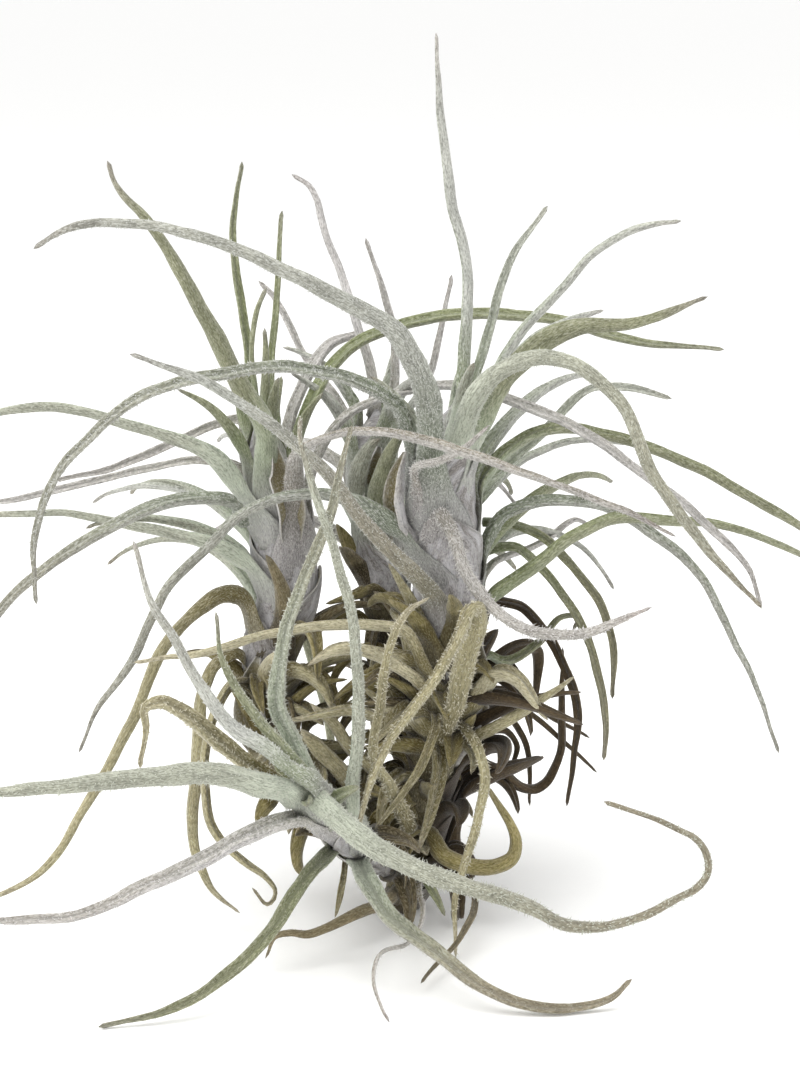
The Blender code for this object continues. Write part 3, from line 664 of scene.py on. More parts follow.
def blade(path, rooted_rows, rng, folds, dryness, shape):
    """The fine grid of a leaf, with its texture places and marks. Its first rooted_rows are its foot."""
    centre = path[:, :3].copy()
    steps = np.linalg.norm(np.diff(centre, axis=0), axis=1)
    s = np.concatenate([[0], np.cumsum(steps)])
    s -= s[rooted_rows]
    share = np.maximum(s / s[-1], 0)
    tangent = unit(np.gradient(centre, axis=0))
    up = across(path[:, 5:8], tangent)
    side = np.cross(up, tangent)
    calm = ease(share / 0.12) * ease((1 - share) / 0.05)
    for way in (side, up):
        centre += way * (drift(s, rng, CENTRE_WAVE) * shape.wander * calm)[:, None]
    width = path[:, 3] * (1 + shape.width_wander * drift(s, rng, WIDTH_WAVE))
    thick = path[:, 4] * (1 + 0.5 * shape.width_wander * drift(s, rng, THICKNESS_WAVE))

    lean = np.linspace(-1, 1, BACK_POINTS)
    u_back = np.sin(lean * math.pi / 2)
    u_front = -np.sin(np.linspace(-1, 1, FRONT_POINTS + 2)[1:-1] * math.pi / 2)
    u = np.concatenate([u_back, u_front])
    height = np.where(IS_BACK, section(u, True), section(u, False))

    # Ridges run along the leaf and slowly trade places.
    phase = rng.random(3) * 6.3
    slow = drift(s, rng, RIDGE_WAVE)[:, None]
    ridges = np.cos(u * COARSE_RIDGES + phase[0] + slow * 0.9)
    ridges = ridges + 0.7 * np.cos(u * FINE_RIDGES + phase[1] - slow * 1.3)
    depth = folds * np.where(IS_BACK, 0.055, 0.075) * ridges * (1 - u**2)
    height = height[None] + depth * ease((1 - share) / 0.1)[:, None]

    half = width[:, None] / 2
    points = centre[:, None] + side[:, None] * (half * u)[..., None]
    points = points + up[:, None] * (thick[:, None] * height)[..., None]
    points += rng.normal(0, GRAIN, points.shape)

    arc = np.where(IS_BACK, np.arcsin(u), 2.6 * np.sign(u) - u)
    place = np.stack(np.broadcast_arrays(half * arc / MM, s[:, None] / MM, share[:, None]), axis=-1)
    marks = np.zeros((len(s), RING, 3))
    marks[..., 0] = np.where(IS_BACK, 0, 1 - 0.5 * u**4)
    dried = (share - 0.12) / 0.6 if dryness > 0 else (0.8 - share) / 0.6
    marks[..., 2] = abs(dryness) * ease(dried)[:, None]
    return points, place, marks, side


def rooted(path, rng, shape, may_reach):
    """The path with its foot carried down the stem, how many of its rows are foot, and the stem.

    The foot starts on the stem, rises along it and bends out into the leaf, and it widens downward.
    """
    stem, s0, gap = home_stem(path[0, :3])
    if gap > may_reach:
        return path, 0, None
    centre, _, ahead = stem.at(s0)
    offset = path[0, :3] - centre
    if np.linalg.norm(across(offset[None], ahead[None])) < 0.5 or np.linalg.norm(offset) < 0.5 * MM:
        offset = path[4, :3] - centre
    out = across(offset[None], ahead[None])[0]
    length = np.linalg.norm(np.diff(path[:, :3], axis=0), axis=1).sum()
    join = min(max(1.1 * path[0, 3], 3.0 * MM), 6 * MM, 0.3 * length)
    m = max(2, int(join / length * len(path)))
    end = path[m]
    drop = max(min(shape.clasp_height * rng.uniform(0.8, 1.25), s0 - 0.5 * MM), 2 * MM)
    base_s = max(s0 - drop, 0.2 * MM)
    base_centre, base_radius, base_ahead = stem.at(base_s)
    out_base = across(out[None], base_ahead[None])[0]
    near_axis = np.linalg.norm(path[0, :3] - centre)
    depth = min(base_radius - 0.5 * MM, max(near_axis, 0.55 * base_radius))
    start = base_centre + out_base * depth
    reach = np.linalg.norm(end[:3] - start)
    tangent = unit(path[m + 1, :3] - path[m - 1, :3])
    rows = max(12, int(reach / STEP) + 3)
    t = np.linspace(0, 1, rows)[:, None]
    lead = base_ahead * reach * 1.15
    a, b, c, d = hermite(t)
    line = (a * start + b * lead + c * end[:3] + d * tangent * reach * 1.05)[:-1]
    t = t[:-1, 0]
    foot = np.zeros((rows - 1, path.shape[1]))
    foot[:, :3] = line
    spread = min(3.4 * base_radius, 3.0 * MM + 3.1 * end[3])
    foot[:, 3] = end[3] + (spread - end[3]) * (1 - t) ** 1.7
    foot[:, 4] = end[4] + (0.3 * MM - end[4]) * ease((1 - t) / 0.7)
    # The upper side is carried back from the leaf, then turned to face the stem.
    directions = unit(np.gradient(np.vstack([line, end[:3]]), axis=0))
    up = across(end[None, 5:8], directions[-1:])[0]
    ups = []
    for direction in directions[-2::-1]:
        up = across(up[None], direction[None])[0]
        ups.append(up)
    ups = np.array(ups[::-1])
    facing = across(-out_base[None], directions[:1])[0]
    angle = math.atan2(np.dot(np.cross(ups[0], facing), directions[0]), np.dot(ups[0], facing))
    turned = angle * (1 - t)[:, None]
    foot[:, 5:8] = ups * np.cos(turned) + np.cross(directions[:-1], ups) * np.sin(turned)
    return np.vstack([foot, path[m:]]), rows - 1, stem


def torn_foot(path):
    """The path carried back to a broad torn base that lies over the crown."""
    lead = unit(path[0, :3] - path[3, :3])
    share = np.linspace(1, 0, 9)[:-1, None]
    foot = np.repeat(path[:1], len(share), axis=0)
    foot[:, :3] += lead * share * TORN_LENGTH * MM
    foot[:, 3] *= 1 + 0.3 * share[:, 0]
    foot[:, 4] *= 1 - 0.55 * share[:, 0]
    return np.vstack([foot, path])


def hugged(points, path, side, rooted_rows, stem, rng):
    """The leaf's grid with its foot wrapped round the stem as a thin shell."""
    phase = rng.random(2) * 6
    lean = np.concatenate([np.linspace(-1, 1, BACK_POINTS), -np.linspace(-1, 1, FRONT_POINTS + 2)[1:-1]])
    edge = np.sqrt(np.maximum(1 - lean**4, 0))
    wall = np.where(IS_BACK, FOOT_OUTSIDE, FOOT_INSIDE) * (0.25 + 0.75 * edge)
    for k in range(rooted_rows):
        centre = path[k, :3]
        near = np.linalg.norm(stem.rows[:, :3] - centre, axis=1).argmin()
        axis, radius, ahead = stem.at(stem.grid[near])
        offset = centre - axis
        out = across(offset[None], ahead[None])[0]
        turn = np.cross(ahead, out)
        sign = 1 if np.dot(side[k], turn) > 0 else -1
        reach = max(np.linalg.norm(offset), 0.5 * radius)
        angle = min(path[k, 3] / (2 * reach), 1.8)
        wave = FOOT_WAVE * np.cos(lean * 9 + phase[0]) * np.cos(k * 0.35 + phase[1])
        theta = sign * lean * angle
        t = k / rooted_rows
        far = reach + wall + wave + FOOT_BULGE * float(ease(t / 0.3) * ease((1 - t) / 0.6))
        ring = axis + (far * np.cos(theta))[:, None] * out + (far * np.sin(theta))[:, None] * turn
        ring = ring + np.dot(offset, ahead) * ahead
        blend = float(ease((0.92 - t) / 0.6))
        points[k] = points[k] * (1 - blend) + ring * blend
    return points


def hair_mesh(name, sheets, kind, more, rng):
    """Small pointed hairs that stand on tubes of points, as one object.

    more is their length, number and width, as shares of the usual.
    """
    shape = settings().shape
    length, number = (usual * share for usual, share in zip(KINDS[kind][5:7], more))
    width = shape.hair_width * more[2]
    all_points = []
    for points in sheets:
        rolled = np.roll(points, -1, axis=1)
        a, b, c, d = points[:-1], rolled[:-1], rolled[1:], points[1:]
        normal = np.cross(b - a, d - a)
        area = np.linalg.norm(normal, axis=-1)
        normal = unit(normal)
        total = int(area.sum() / MM**2 * number * shape.hair_number)
        chance = (area / area.sum()).ravel()
        cell = rng.choice(len(chance), total, p=chance)
        i, j = np.unravel_index(cell, area.shape)
        p, q = rng.random((2, total, 1))
        root = a[i, j] * (1 - p) * (1 - q) + b[i, j] * p * (1 - q)
        root = root + c[i, j] * p * q + d[i, j] * (1 - p) * q
        along = unit(d[i, j] - a[i, j])
        beside = unit(b[i, j] - a[i, j])
        aim = unit(
            normal[i, j]
            + along * rng.normal(0.45, 0.45, (total, 1))
            + beside * rng.normal(0, 0.4, (total, 1))
        )
        share = (i / max(1, area.shape[0] - 1))[:, None]
        size = length * MM * shape.hair_length * rng.uniform(0.4, 1.25, (total, 1)) * (1 - 0.45 * share**6)
        first = across(rng.normal(0, 1, (total, 3)), aim)
        second = np.cross(aim, first)
        base = root - aim * HAIR_DEPTH * MM
        trio = [base + width * 0.5 * (math.cos(t) * first + math.sin(t) * second) for t in THIRDS]
        all_points.append(np.stack([*trio, root + aim * size], axis=1))
    points = np.concatenate(all_points).reshape(-1, 3)
    points[:, 2] = np.maximum(points[:, 2], 0)
    count = len(points) // 4
    sides = np.array([(0, 1, 3), (1, 2, 3), (2, 0, 3)])
    faces = (np.arange(count)[:, None, None] * 4 + sides).reshape(-1, 3)
    mesh = bpy.data.meshes.new(name)
    mesh.vertices.add(len(points))
    mesh.vertices.foreach_set("co", points.astype(np.float32).ravel())
    mesh.loops.add(faces.size)
    mesh.loops.foreach_set("vertex_index", faces.astype(np.int32).ravel())
    mesh.polygons.add(len(faces))
    mesh.polygons.foreach_set("loop_start", np.arange(0, faces.size, 3, dtype=np.int32))
    mesh.polygons.foreach_set("use_smooth", np.ones(len(faces), bool))
    mesh.materials.append(hair_material(kind))
    mesh.update(calc_edges=True)
    return stood(name, mesh)


# ---------------------------------------------------------------- materials


MIX = {"out": 2, "data_type": "RGBA"}
TIMES = MIX | {"blend_type": "MULTIPLY"}

# Patterns in the felt: how often each repeats per millimetre across and along and from foot to tip,
# then its detail and its roughness.
LEAF_PATTERNS = (
    ((2.0, 0.12, 3.0), 3.0, 0.5),  # streaks of the clasping foot, 0.5 mm wide
    ((4.2, 0.2, 3.0), 3.0, 0.6),  # lines of scales, each about 0.25 mm wide and 5 mm long
    # Single scales are under 0.1 mm. They're drawn 0.3 mm wide, as clumps, so that they show.
    ((4.4, 1.3, 3.0), 2.0, 0.6),
    ((0.4, 0.17, 3.0), 1.0, 0.5),  # lighter and darker patches, about 2.5 mm wide and 6 mm long
)
SHEATH_PATTERNS = (
    ((0.45, 0.2, 3.0), 3.0, 0.6),  # patches of painted shade, about 2 mm wide and 5 mm long
    ((3.0, 0.14, 3.0), 3.0, 0.6),  # fibres 0.35 mm apart, up the stem
    ((4.0, 2.0, 3.0), 2.0, 0.6),  # flecks of felt, 0.3 mm
)


def add(tree, kind, inputs=None, out=0, **values):
    """Adds a node with its settings and links, and returns the output asked for.

    An input's value is a number, a colour or another node's output.
    """
    node = tree.nodes.new(kind)
    for name, value in values.items():
        setattr(node, name, value)
    for key, value in (inputs or {}).items():
        socket = node.inputs[key]
        if isinstance(value, bpy.types.NodeSocket):
            tree.links.new(value, socket)
        elif socket.type == "RGBA":
            socket.default_value = (*value[:3], 1)
        else:
            socket.default_value = value
    return node.outputs[out] if node.outputs else node


def blank(name):
    """A new material with an empty node tree."""
    material = bpy.data.materials.new(name)
    material.use_nodes = True
    material.node_tree.nodes.clear()
    return material, material.node_tree


def felt_patterns(tree, patterns):
    """A point's place on its leaf or sheath, the marks it carries and the patterns there."""
    place = add(tree, "ShaderNodeAttribute", attribute_name="leaf_place", out="Vector")
    marks = add(tree, "ShaderNodeAttribute", attribute_name="leaf_marks", out="Vector")
    drawn = []
    for scales, detail, roughness in patterns:
        spot = add(tree, "ShaderNodeVectorMath", {0: place, 1: scales}, operation="MULTIPLY")
        look = {"Vector": spot, "Scale": 1.0, "Detail": detail, "Roughness": roughness}
        drawn.append(add(tree, "ShaderNodeTexNoise", look))
    return place, add(tree, "ShaderNodeSeparateXYZ", {0: marks}), drawn


def felted(tree, skin, lines, flecks, cover, felt, tones, gap, depth):
    """Skin shaded in lines, with pale flecks over it and darker gaps between, and the bump of both."""
    tone = add(tree, "ShaderNodeMapRange", {0: lines, 1: 0.3, 2: 0.7, 3: tones[0], 4: tones[1]})
    skin = add(tree, "ShaderNodeMix", {0: 1.0, 6: skin, 7: tone}, **TIMES)
    shown = add(tree, "ShaderNodeMapRange", {0: flecks, 1: 0.5, 2: 0.66, 3: 0.0, 4: cover})
    skin = add(tree, "ShaderNodeMix", {0: shown, 6: skin, 7: felt}, **MIX)
    gaps = add(tree, "ShaderNodeMapRange", {0: flecks, 1: 0.34, 2: gap[0], 3: gap[1], 4: 1.0})
    skin = add(tree, "ShaderNodeMix", {0: 1.0, 6: skin, 7: gaps}, **TIMES)
    relief = add(tree, "ShaderNodeMath", {0: lines, 1: flecks}, operation="ADD")
    return skin, add(tree, "ShaderNodeBump", {"Height": relief, "Strength": 0.8, "Distance": depth})


def leaf_material(kind):
    """Living or dry leaf skin under a felt of silver scales.

    The eye gets a dull, powdery surface: green or tan skin shows between pale scales that lie in
    lines along the leaf, and soft light catches the hairs at a glancing angle.
    """
    name = f"Felted {kind.replace('_', ' ')} leaf skin"
    if name in bpy.data.materials:
        return bpy.data.materials[name]
    material, tree = blank(name)
    finish = getattr(settings(), kind)
    sheath = settings().sheath
    cover = KINDS[kind][7]
    place, channel, (felt, lines, scales, patches) = felt_patterns(tree, LEAF_PATTERNS)
    share = add(tree, "ShaderNodeSeparateXYZ", {0: place}, out="Z")
    clasping, dryness = channel.node.outputs[1:3]

    skin = add(tree, "ShaderNodeValToRGB", {0: share})
    stops = skin.node.color_ramp.elements
    # The foot end of the ramp: for the dry kinds a darker colour, partly painted shade where their feet lie
    # deep in the clump.
    stops[0].color = (*finish.foot, 1)
    stops[1].color = (*finish.tip, 1)
    for position in (0.22, 0.82):
        stops.new(position).color = (*finish.middle, 1)
    open_part = add(tree, "ShaderNodeMapRange", {0: share, 1: 0.0, 2: 0.75, 3: 0.9, 4: 0.35})
    open_part = add(tree, "ShaderNodeMath", {0: channel, 1: open_part}, operation="MULTIPLY")
    skin = add(tree, "ShaderNodeMix", {0: open_part, 6: skin, 7: finish.channel}, **MIX)
    skin = add(tree, "ShaderNodeMix", {0: dryness, 6: skin, 7: sheath.dry}, **MIX)

    # The clasping foot is felted outside, with patches of painted shade in the felt, and papery inside.
    foot = add(tree, "ShaderNodeMix", {0: felt, 6: sheath.shade, 7: sheath.felt}, **MIX)
    foot = add(tree, "ShaderNodeMix", {0: channel, 6: foot, 7: sheath.inner}, **MIX)
    clasping = add(tree, "ShaderNodeMath", {0: clasping, 1: 0.85}, operation="MULTIPLY")
    skin = add(tree, "ShaderNodeMix", {0: clasping, 6: skin, 7: foot}, **MIX)

    # The scales thin out where the leaf has dried.
    cover = add(tree, "ShaderNodeMapRange", {0: dryness, 3: cover, 4: 0.4 * cover})
    tones, gap, depth = (0.68, 1.22), (0.48, 0.62), 0.14 * MM
    skin, bump = felted(tree, skin, lines, scales, cover, finish.hair, tones, gap, depth)
    tone = add(tree, "ShaderNodeMapRange", {0: patches, 1: 0.3, 2: 0.7, 3: 0.84, 4: 1.12})
    skin = add(tree, "ShaderNodeMix", {0: 1.0, 6: skin, 7: tone}, **TIMES)

    surface = {"Base Color": skin, "Normal": bump, "Roughness": 0.82, "IOR": 1.45}
    surface |= {"Specular IOR Level": 0.25, "Sheen Weight": 0.3, "Sheen Roughness": 0.5}
    add(tree, "ShaderNodeOutputMaterial", {"Surface": add(tree, "ShaderNodeBsdfPrincipled", surface)})
    return material


def sheath_material():
    """Dry papery sheath with silver felt outside, tan inside and a pale worn rim.

    The eye gets soft purple-grey cloth with long fibres and patches of painted shade, and a brown hollow
    where a sheath opens.
    """
    name = "Dry felted sheath"
    if name in bpy.data.materials:
        return bpy.data.materials[name]
    material, tree = blank(name)
    sheath = settings().sheath
    _, inner, (worn, fibres, flecks) = felt_patterns(tree, SHEATH_PATTERNS)
    age, rim = inner.node.outputs[1:3]
    # Random patches where the felt turns to its shaded copy: painted shade.
    worn = add(tree, "ShaderNodeMapRange", {0: worn, 1: 0.4, 2: 0.62})
    skin = add(tree, "ShaderNodeMix", {0: worn, 6: sheath.felt, 7: sheath.shade}, **MIX)
    skin = add(tree, "ShaderNodeMix", {0: inner, 6: skin, 7: sheath.inner}, **MIX)
    skin = add(tree, "ShaderNodeMix", {0: age, 6: skin, 7: sheath.old}, **MIX)
    rim = add(tree, "ShaderNodeMath", {0: rim, 1: 0.7}, operation="MULTIPLY")
    skin = add(tree, "ShaderNodeMix", {0: rim, 6: skin, 7: sheath.rim}, **MIX)

    # The flecks thin out where the sheath is old.
    cover = add(tree, "ShaderNodeMapRange", {0: age, 3: 0.5, 4: 0.12})
    tones, gap, depth = (0.78, 1.14), (0.5, 0.7), 0.16 * MM
    skin, bump = felted(tree, skin, fibres, flecks, cover, sheath.rim, tones, gap, depth)

    surface = {"Base Color": skin, "Normal": bump, "Roughness": 0.88, "IOR": 1.45}
    surface |= {"Specular IOR Level": 0.2, "Sheen Weight": 0.35, "Sheen Roughness": 0.5}
    add(tree, "ShaderNodeOutputMaterial", {"Surface": add(tree, "ShaderNodeBsdfPrincipled", surface)})
    return material


def hair_material(kind):
    """A single silver hair: one dry clear cell full of air.

    Each is finer than any pattern that it could carry, so its colour is plain. Together they give
    the leaf its frosted outline.
    """
    name = f"Silver hairs of the {kind.replace('_', ' ')} leaf"
    if name in bpy.data.materials:
        return bpy.data.materials[name]
    material, tree = blank(name)
    surface = {"Base Color": getattr(settings(), kind).hair, "Roughness": 0.6, "IOR": 1.4}
    surface |= {"Specular IOR Level": 0.3, "Sheen Weight": 0.2}
    add(tree, "ShaderNodeOutputMaterial", {"Surface": add(tree, "ShaderNodeBsdfPrincipled", surface)})
    return material


def floor_material():
    """Matt painted board. The eye gets an even pale ground with a faint tooth."""
    material, tree = blank("Matt painted board")
    # Paint grain is about 3 mm.
    where = add(tree, "ShaderNodeTexCoord", out="Object")
    grain = add(tree, "ShaderNodeTexNoise", {"Vector": where, "Scale": 320.0, "Detail": 2.0})
    tint = add(tree, "ShaderNodeMapRange", {0: grain, 3: 0.985, 4: 1.0})
    colour = add(tree, "ShaderNodeMix", {0: 1.0, 6: settings().sheath.floor, 7: tint}, **TIMES)
    surface = {"Base Color": colour, "Roughness": 0.9, "Specular IOR Level": 0.1}
    add(tree, "ShaderNodeOutputMaterial", {"Surface": add(tree, "ShaderNodeBsdfPrincipled", surface)})
    return material


# ---------------------------------------------------------------- pieces


def seeded(name):
    """A random source that depends only on the seed and the piece's name."""
    total = settings().shape.seed
    for letter in name:
        total = (total * 131 + ord(letter)) % (2**31)
    return np.random.default_rng(total)


def keep(piece, node=None):
    """Makes a piece part of the plant, in place of a CAD node if one is named."""
    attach(piece, "root")
    if node:
        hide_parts(node)


def leaf_parts(name, kind, path):
    """A leaf's grid, texture places and marks."""
    shape = settings().shape
    rng = seeded(name)
    path = path.copy()
    ends = np.linalg.norm(path[:, :3] - path[-1, :3], axis=1)
    full = np.maximum(path[:, 3] * 1.02, TIP_WIDTH[kind] * MM)
    path[:, 3] = full * np.sqrt(np.clip(ends / (0.9 * full), 0.01, 1))
    path[:, 4] = path[:, 3] * 0.41
    if name in TORN:
        path, rows, stem = torn_foot(path), 0, None
    else:
        may_reach = FRONT_FOOT_REACH if name.startswith("front_") else FOOT_REACH
        path, rows, stem = rooted(path, rng, shape, may_reach)
    points, place, marks, side = blade(path, rows, rng, KINDS[kind][8], DRYNESS.get(name, 0.1), shape)
    if rows:
        points = hugged(points, path, side, rows, stem, rng)
        t = np.arange(rows) / rows
        # Dry kinds show little felt on the foot, so their darker foot colour, partly painted shade, stays in
        # view.
        felt = 0.15 if kind in DRY_KINDS else 1.0
        marks[:rows, :, 1] = felt * ease((1 - t) / 0.9)[:, None]
    if not faces_out(points[rows:]):
        points, place, marks = points[:, ::-1], place[:, ::-1], marks[:, ::-1]
    return points, place, marks


def make_leaf(name, slot, path, node=None):
    """One leaf with its clasping foot, and its hairs as a piece of their own."""
    kind = AGED.get(name, slot)
    points, place, marks = leaf_parts(name, kind, path)
    surface = Surface()
    surface.tube(points, place, marks)
    keep(surface.build(name + "_skin", leaf_material(kind)), node)
    more = SHAGGY.get(name, (1, 1, 1))
    name += "_hairs"
    keep(hair_mesh(name, [points], kind, more, seeded(name)))


def make_leaves(prefixes):
    """Every leaf of the frame whose name starts in one of these ways."""
    step = settings().shape.step
    for node in sorted(frame["nodes"]):
        if node.startswith(prefixes) and not node.endswith("_stem"):
            make_leaf(node, SLOT_OF[node], leaf_path(node, step), node)


def make_stem(node):
    """A stem's core, wrapped in overlapping dry sheaths."""
    rng = seeded(node)
    stem = STEM_OF[node]
    old = OLD_BELOW[node] * MM
    s = np.linspace(0, stem.length, int(stem.length / SHEATH_STEP) + 1)
    axis, radius, tangent = stem.at(s)
    # The growing tip is hidden among the leaves and rounds off.
    radius = radius * np.sqrt(np.clip((stem.length - s) / STEM_TIP, 0.02, 1))
    start = across(np.array([[1.0, 0, 0]]), tangent)
    out = across(np.broadcast_to(start[0], tangent.shape), tangent)
    turn = np.cross(tangent, out)
    angle = np.linspace(0, TURN, STEM_SIDES, endpoint=False)
    fibres = 0.12 * np.cos(9 * angle + rng.random() * 6) + 0.1 * np.cos(17 * angle + rng.random() * 6)
    along = s[:, None] / BAND
    bands = np.sin(along * TURN) * np.cos(angle + 2 * along)
    grow = radius[:, None] * 0.97 + (fibres[None] + 0.15 * bands) * MM
    points = (
        axis[:, None]
        + (grow * np.cos(angle))[..., None] * out[:, None]
        + (grow * np.sin(angle))[..., None] * turn[:, None]
    )
    if node == "right_stem":  # the one that the clump stands on
        points[0, :, 2] = 0
    place = np.stack(np.broadcast_arrays(radius[:, None] * angle / MM, s[:, None] / MM, 0.0), axis=-1)
    low = ease((old - axis[:, 2]) / (20 * MM))[:, None]
    marks = np.zeros((*grow.shape, 3))
    marks[..., 1] = 0.1 + 0.88 * low
    surface = Surface()
    surface.tube(points, place, marks, (0.02, 0.03, 0.36, 0.97))
    count = max(2, int(stem.length / SHEATH_SPACING))
    for k in range(count):
        top = stem.length * 0.8 * (k + 1.2) / (count + 0.3)
        x0 = 0.38 + 0.6 * k / count
        box = (x0, 0.03, x0 + 0.56 / count, 0.97)
        make_sheath(stem, old, top, k * 2.4 + 0.7, rng, surface, box)
    keep(surface.build(node + "_sheaths", sheath_material()), node)


def make_sheath(stem, old, top, heading, rng, surface, box):
    """A dry sheath: a thin pointed shell round part of a stem, its tip standing a little away."""
    rows, columns = 16, 21
    height = min(rng.uniform(*SHEATH_HEIGHTS) * MM, top)
    v = np.linspace(0, 1, rows)[:, None]
    u = np.linspace(-1, 1, columns)[None]
    s = np.broadcast_to(np.clip(top - v * height, 0, stem.length), (rows, columns))
    axis, radius, ahead, out, turn = stem.facing(s, heading)
    span = rng.uniform(1.5, 2.1)
    angle = u * span * (0.1 + 0.9 * ease(v * 1.5) ** 0.7) + 0.04 * np.sin(v * 17)
    stand = (0.35 + rng.uniform(0.2, 0.7) * (1 - v) ** 2 - 1.1 * v**6) * MM
    wave = 0.14 * MM * np.cos(u * 10 + rng.random() * 6) + 0.1 * MM * np.cos(u * 21 + 3 * v)
    reach = radius + stand + wave
    outer = axis + (reach * np.cos(angle))[..., None] * out + (reach * np.sin(angle))[..., None] * turn
    outer += ahead * (rng.normal(0, 0.12, (1, columns)) * MM * (1 - v))[..., None]
    wall = 0.32 * MM * (0.4 + 0.6 * np.sqrt(np.maximum(1 - u**4, 0)))
    inner = outer + unit(axis - outer) * wall[..., None]
    ring = np.concatenate([outer, inner[:, ::-1]], axis=1)
    ups = v
    if not faces_out(ring):
        ring = ring[::-1]
        ups = v[::-1]
    count = 2 * columns
    lane = np.concatenate([u[0], u[0, ::-1]])
    place = np.zeros((rows, count, 3))
    place[..., 0] = radius.mean() / MM * span * lane
    place[..., 1] = -ups * height / MM
    marks = np.zeros((rows, count, 3))
    marks[..., 0] = np.where(np.arange(count) < columns, 0, 1)
    marks[..., 1] = ease((old - axis[:, :1, 2]) / (25 * MM)) * 0.95
    marks[..., 2] = np.maximum(np.abs(lane) ** 10, ease(1 - ups * 9))
    surface.tube(ring, place, marks, box)


class PieceOperator(bpy.types.Operator):
    """Shared part of every leaf operator."""

    bl_options = {"REGISTER", "UNDO"}
    prefixes = ()

    def execute(self, context):
        make_leaves(self.prefixes)
        return {"FINISHED"}


class AIRPLANT_OT_stems(bpy.types.Operator):
    """Build the four stems with the dry sheaths round them"""

    bl_idname = "airplant.stems"
    bl_label = "Stems"

    def execute(self, context):
        for node in sorted(STEM_OF):
            make_stem(node)
        return {"FINISHED"}


class AIRPLANT_OT_right_leaves(PieceOperator):
    """Build the right shoot's leaves, and the three that cross to the left"""

    bl_idname = "airplant.right_leaves"
    bl_label = "Right shoot"
    prefixes = ("right_", "high_crossing", "middle_crossing", "front_crossing")


class AIRPLANT_OT_left_leaves(PieceOperator):
    """Build the left shoot's leaves"""

    bl_idname = "airplant.left_leaves"
    bl_label = "Left shoot"
    prefixes = ("left_",)


class AIRPLANT_OT_back_leaves(PieceOperator):
    """Build the back shoot's leaves, and the leaves on the far side"""

    bl_idname = "airplant.back_leaves"
    bl_label = "Back shoot"
    prefixes = ("back_", "behind_")


class AIRPLANT_OT_front_leaves(PieceOperator):
    """Build the front shoot's leaves"""

    bl_idname = "airplant.front_leaves"
    bl_label = "Front shoot"
    prefixes = tuple(
        "front_" + name for name in ("right", "under", "low", "grey", "silver", "high", "upright", "bent")
    )


class AIRPLANT_OT_old_leaves(PieceOperator):
    """Build the old, yellow and brown leaves low on the clump"""

    bl_idname = "airplant.old_leaves"
    bl_label = "Old leaves"
    prefixes = ("old_", "dark_")


class AIRPLANT_OT_small_leaves(bpy.types.Operator):
    """Build the short and half hidden leaves that the frame leaves out"""

    bl_idname = "airplant.small_leaves"
    bl_label = "Small leaves"

    def execute(self, context):
        for name, kind, *points in SMALL_LEAVES:
            stem, s0, _ = home_stem(np.array(points[0][:3]) * MM)
            axis, _, ahead = stem.at(s0)
            path = table_path(points, axis + ahead * SIGHT * MM, settings().shape.step)
            make_leaf(name, kind, path)
        return {"FINISHED"}


class AIRPLANT_OT_more_leaves(bpy.types.Operator):
    """Grow the leaves on the far side of each crown and the young ones in its heart"""

    bl_idname = "airplant.more_leaves"
    bl_label = "Far and young leaves"

    def execute(self, context):
        for row in MORE_LEAVES:
            make_more_leaves(*row)
        return {"FINISHED"}


def make_more_leaves(node, kind, count, low, high, side, stray, shortest, longest, flattest, steepest):
    """Leaves of one kind round one stem, each a piece."""
    rng = seeded(node + kind)
    stem = STEM_OF[node]
    for k in range(count):
        s = stem.length * (low + (high - low) * (k + rng.random()) / count)
        heading = math.radians(side + stray * (2 * ((k * SPREAD + 0.3) % 1) - 1))
        length = rng.uniform(shortest, longest) * MM
        rise = math.radians(rng.uniform(flattest, steepest))
        curl = math.radians(rng.uniform(*MORE_CURLS))
        swing = math.radians(rng.uniform(*MORE_SWINGS))
        width = rng.uniform(*MORE_WIDTHS) * MM
        path = drooping_path(stem, s, heading, length, width, rise, curl, swing)
        make_leaf(f"{node.removesuffix('_stem')}_{kind}_more_{k}", kind, path)


class AIRPLANT_OT_open_sheaths(bpy.types.Operator):
    """Build the dry sheaths that stand open, tan inside with a pale rim"""

    bl_idname = "airplant.open_sheaths"
    bl_label = "Open sheaths"

    def execute(self, context):
        for row in OPEN_SHEATHS:
            make_open_sheath(*row)
        return {"FINISHED"}


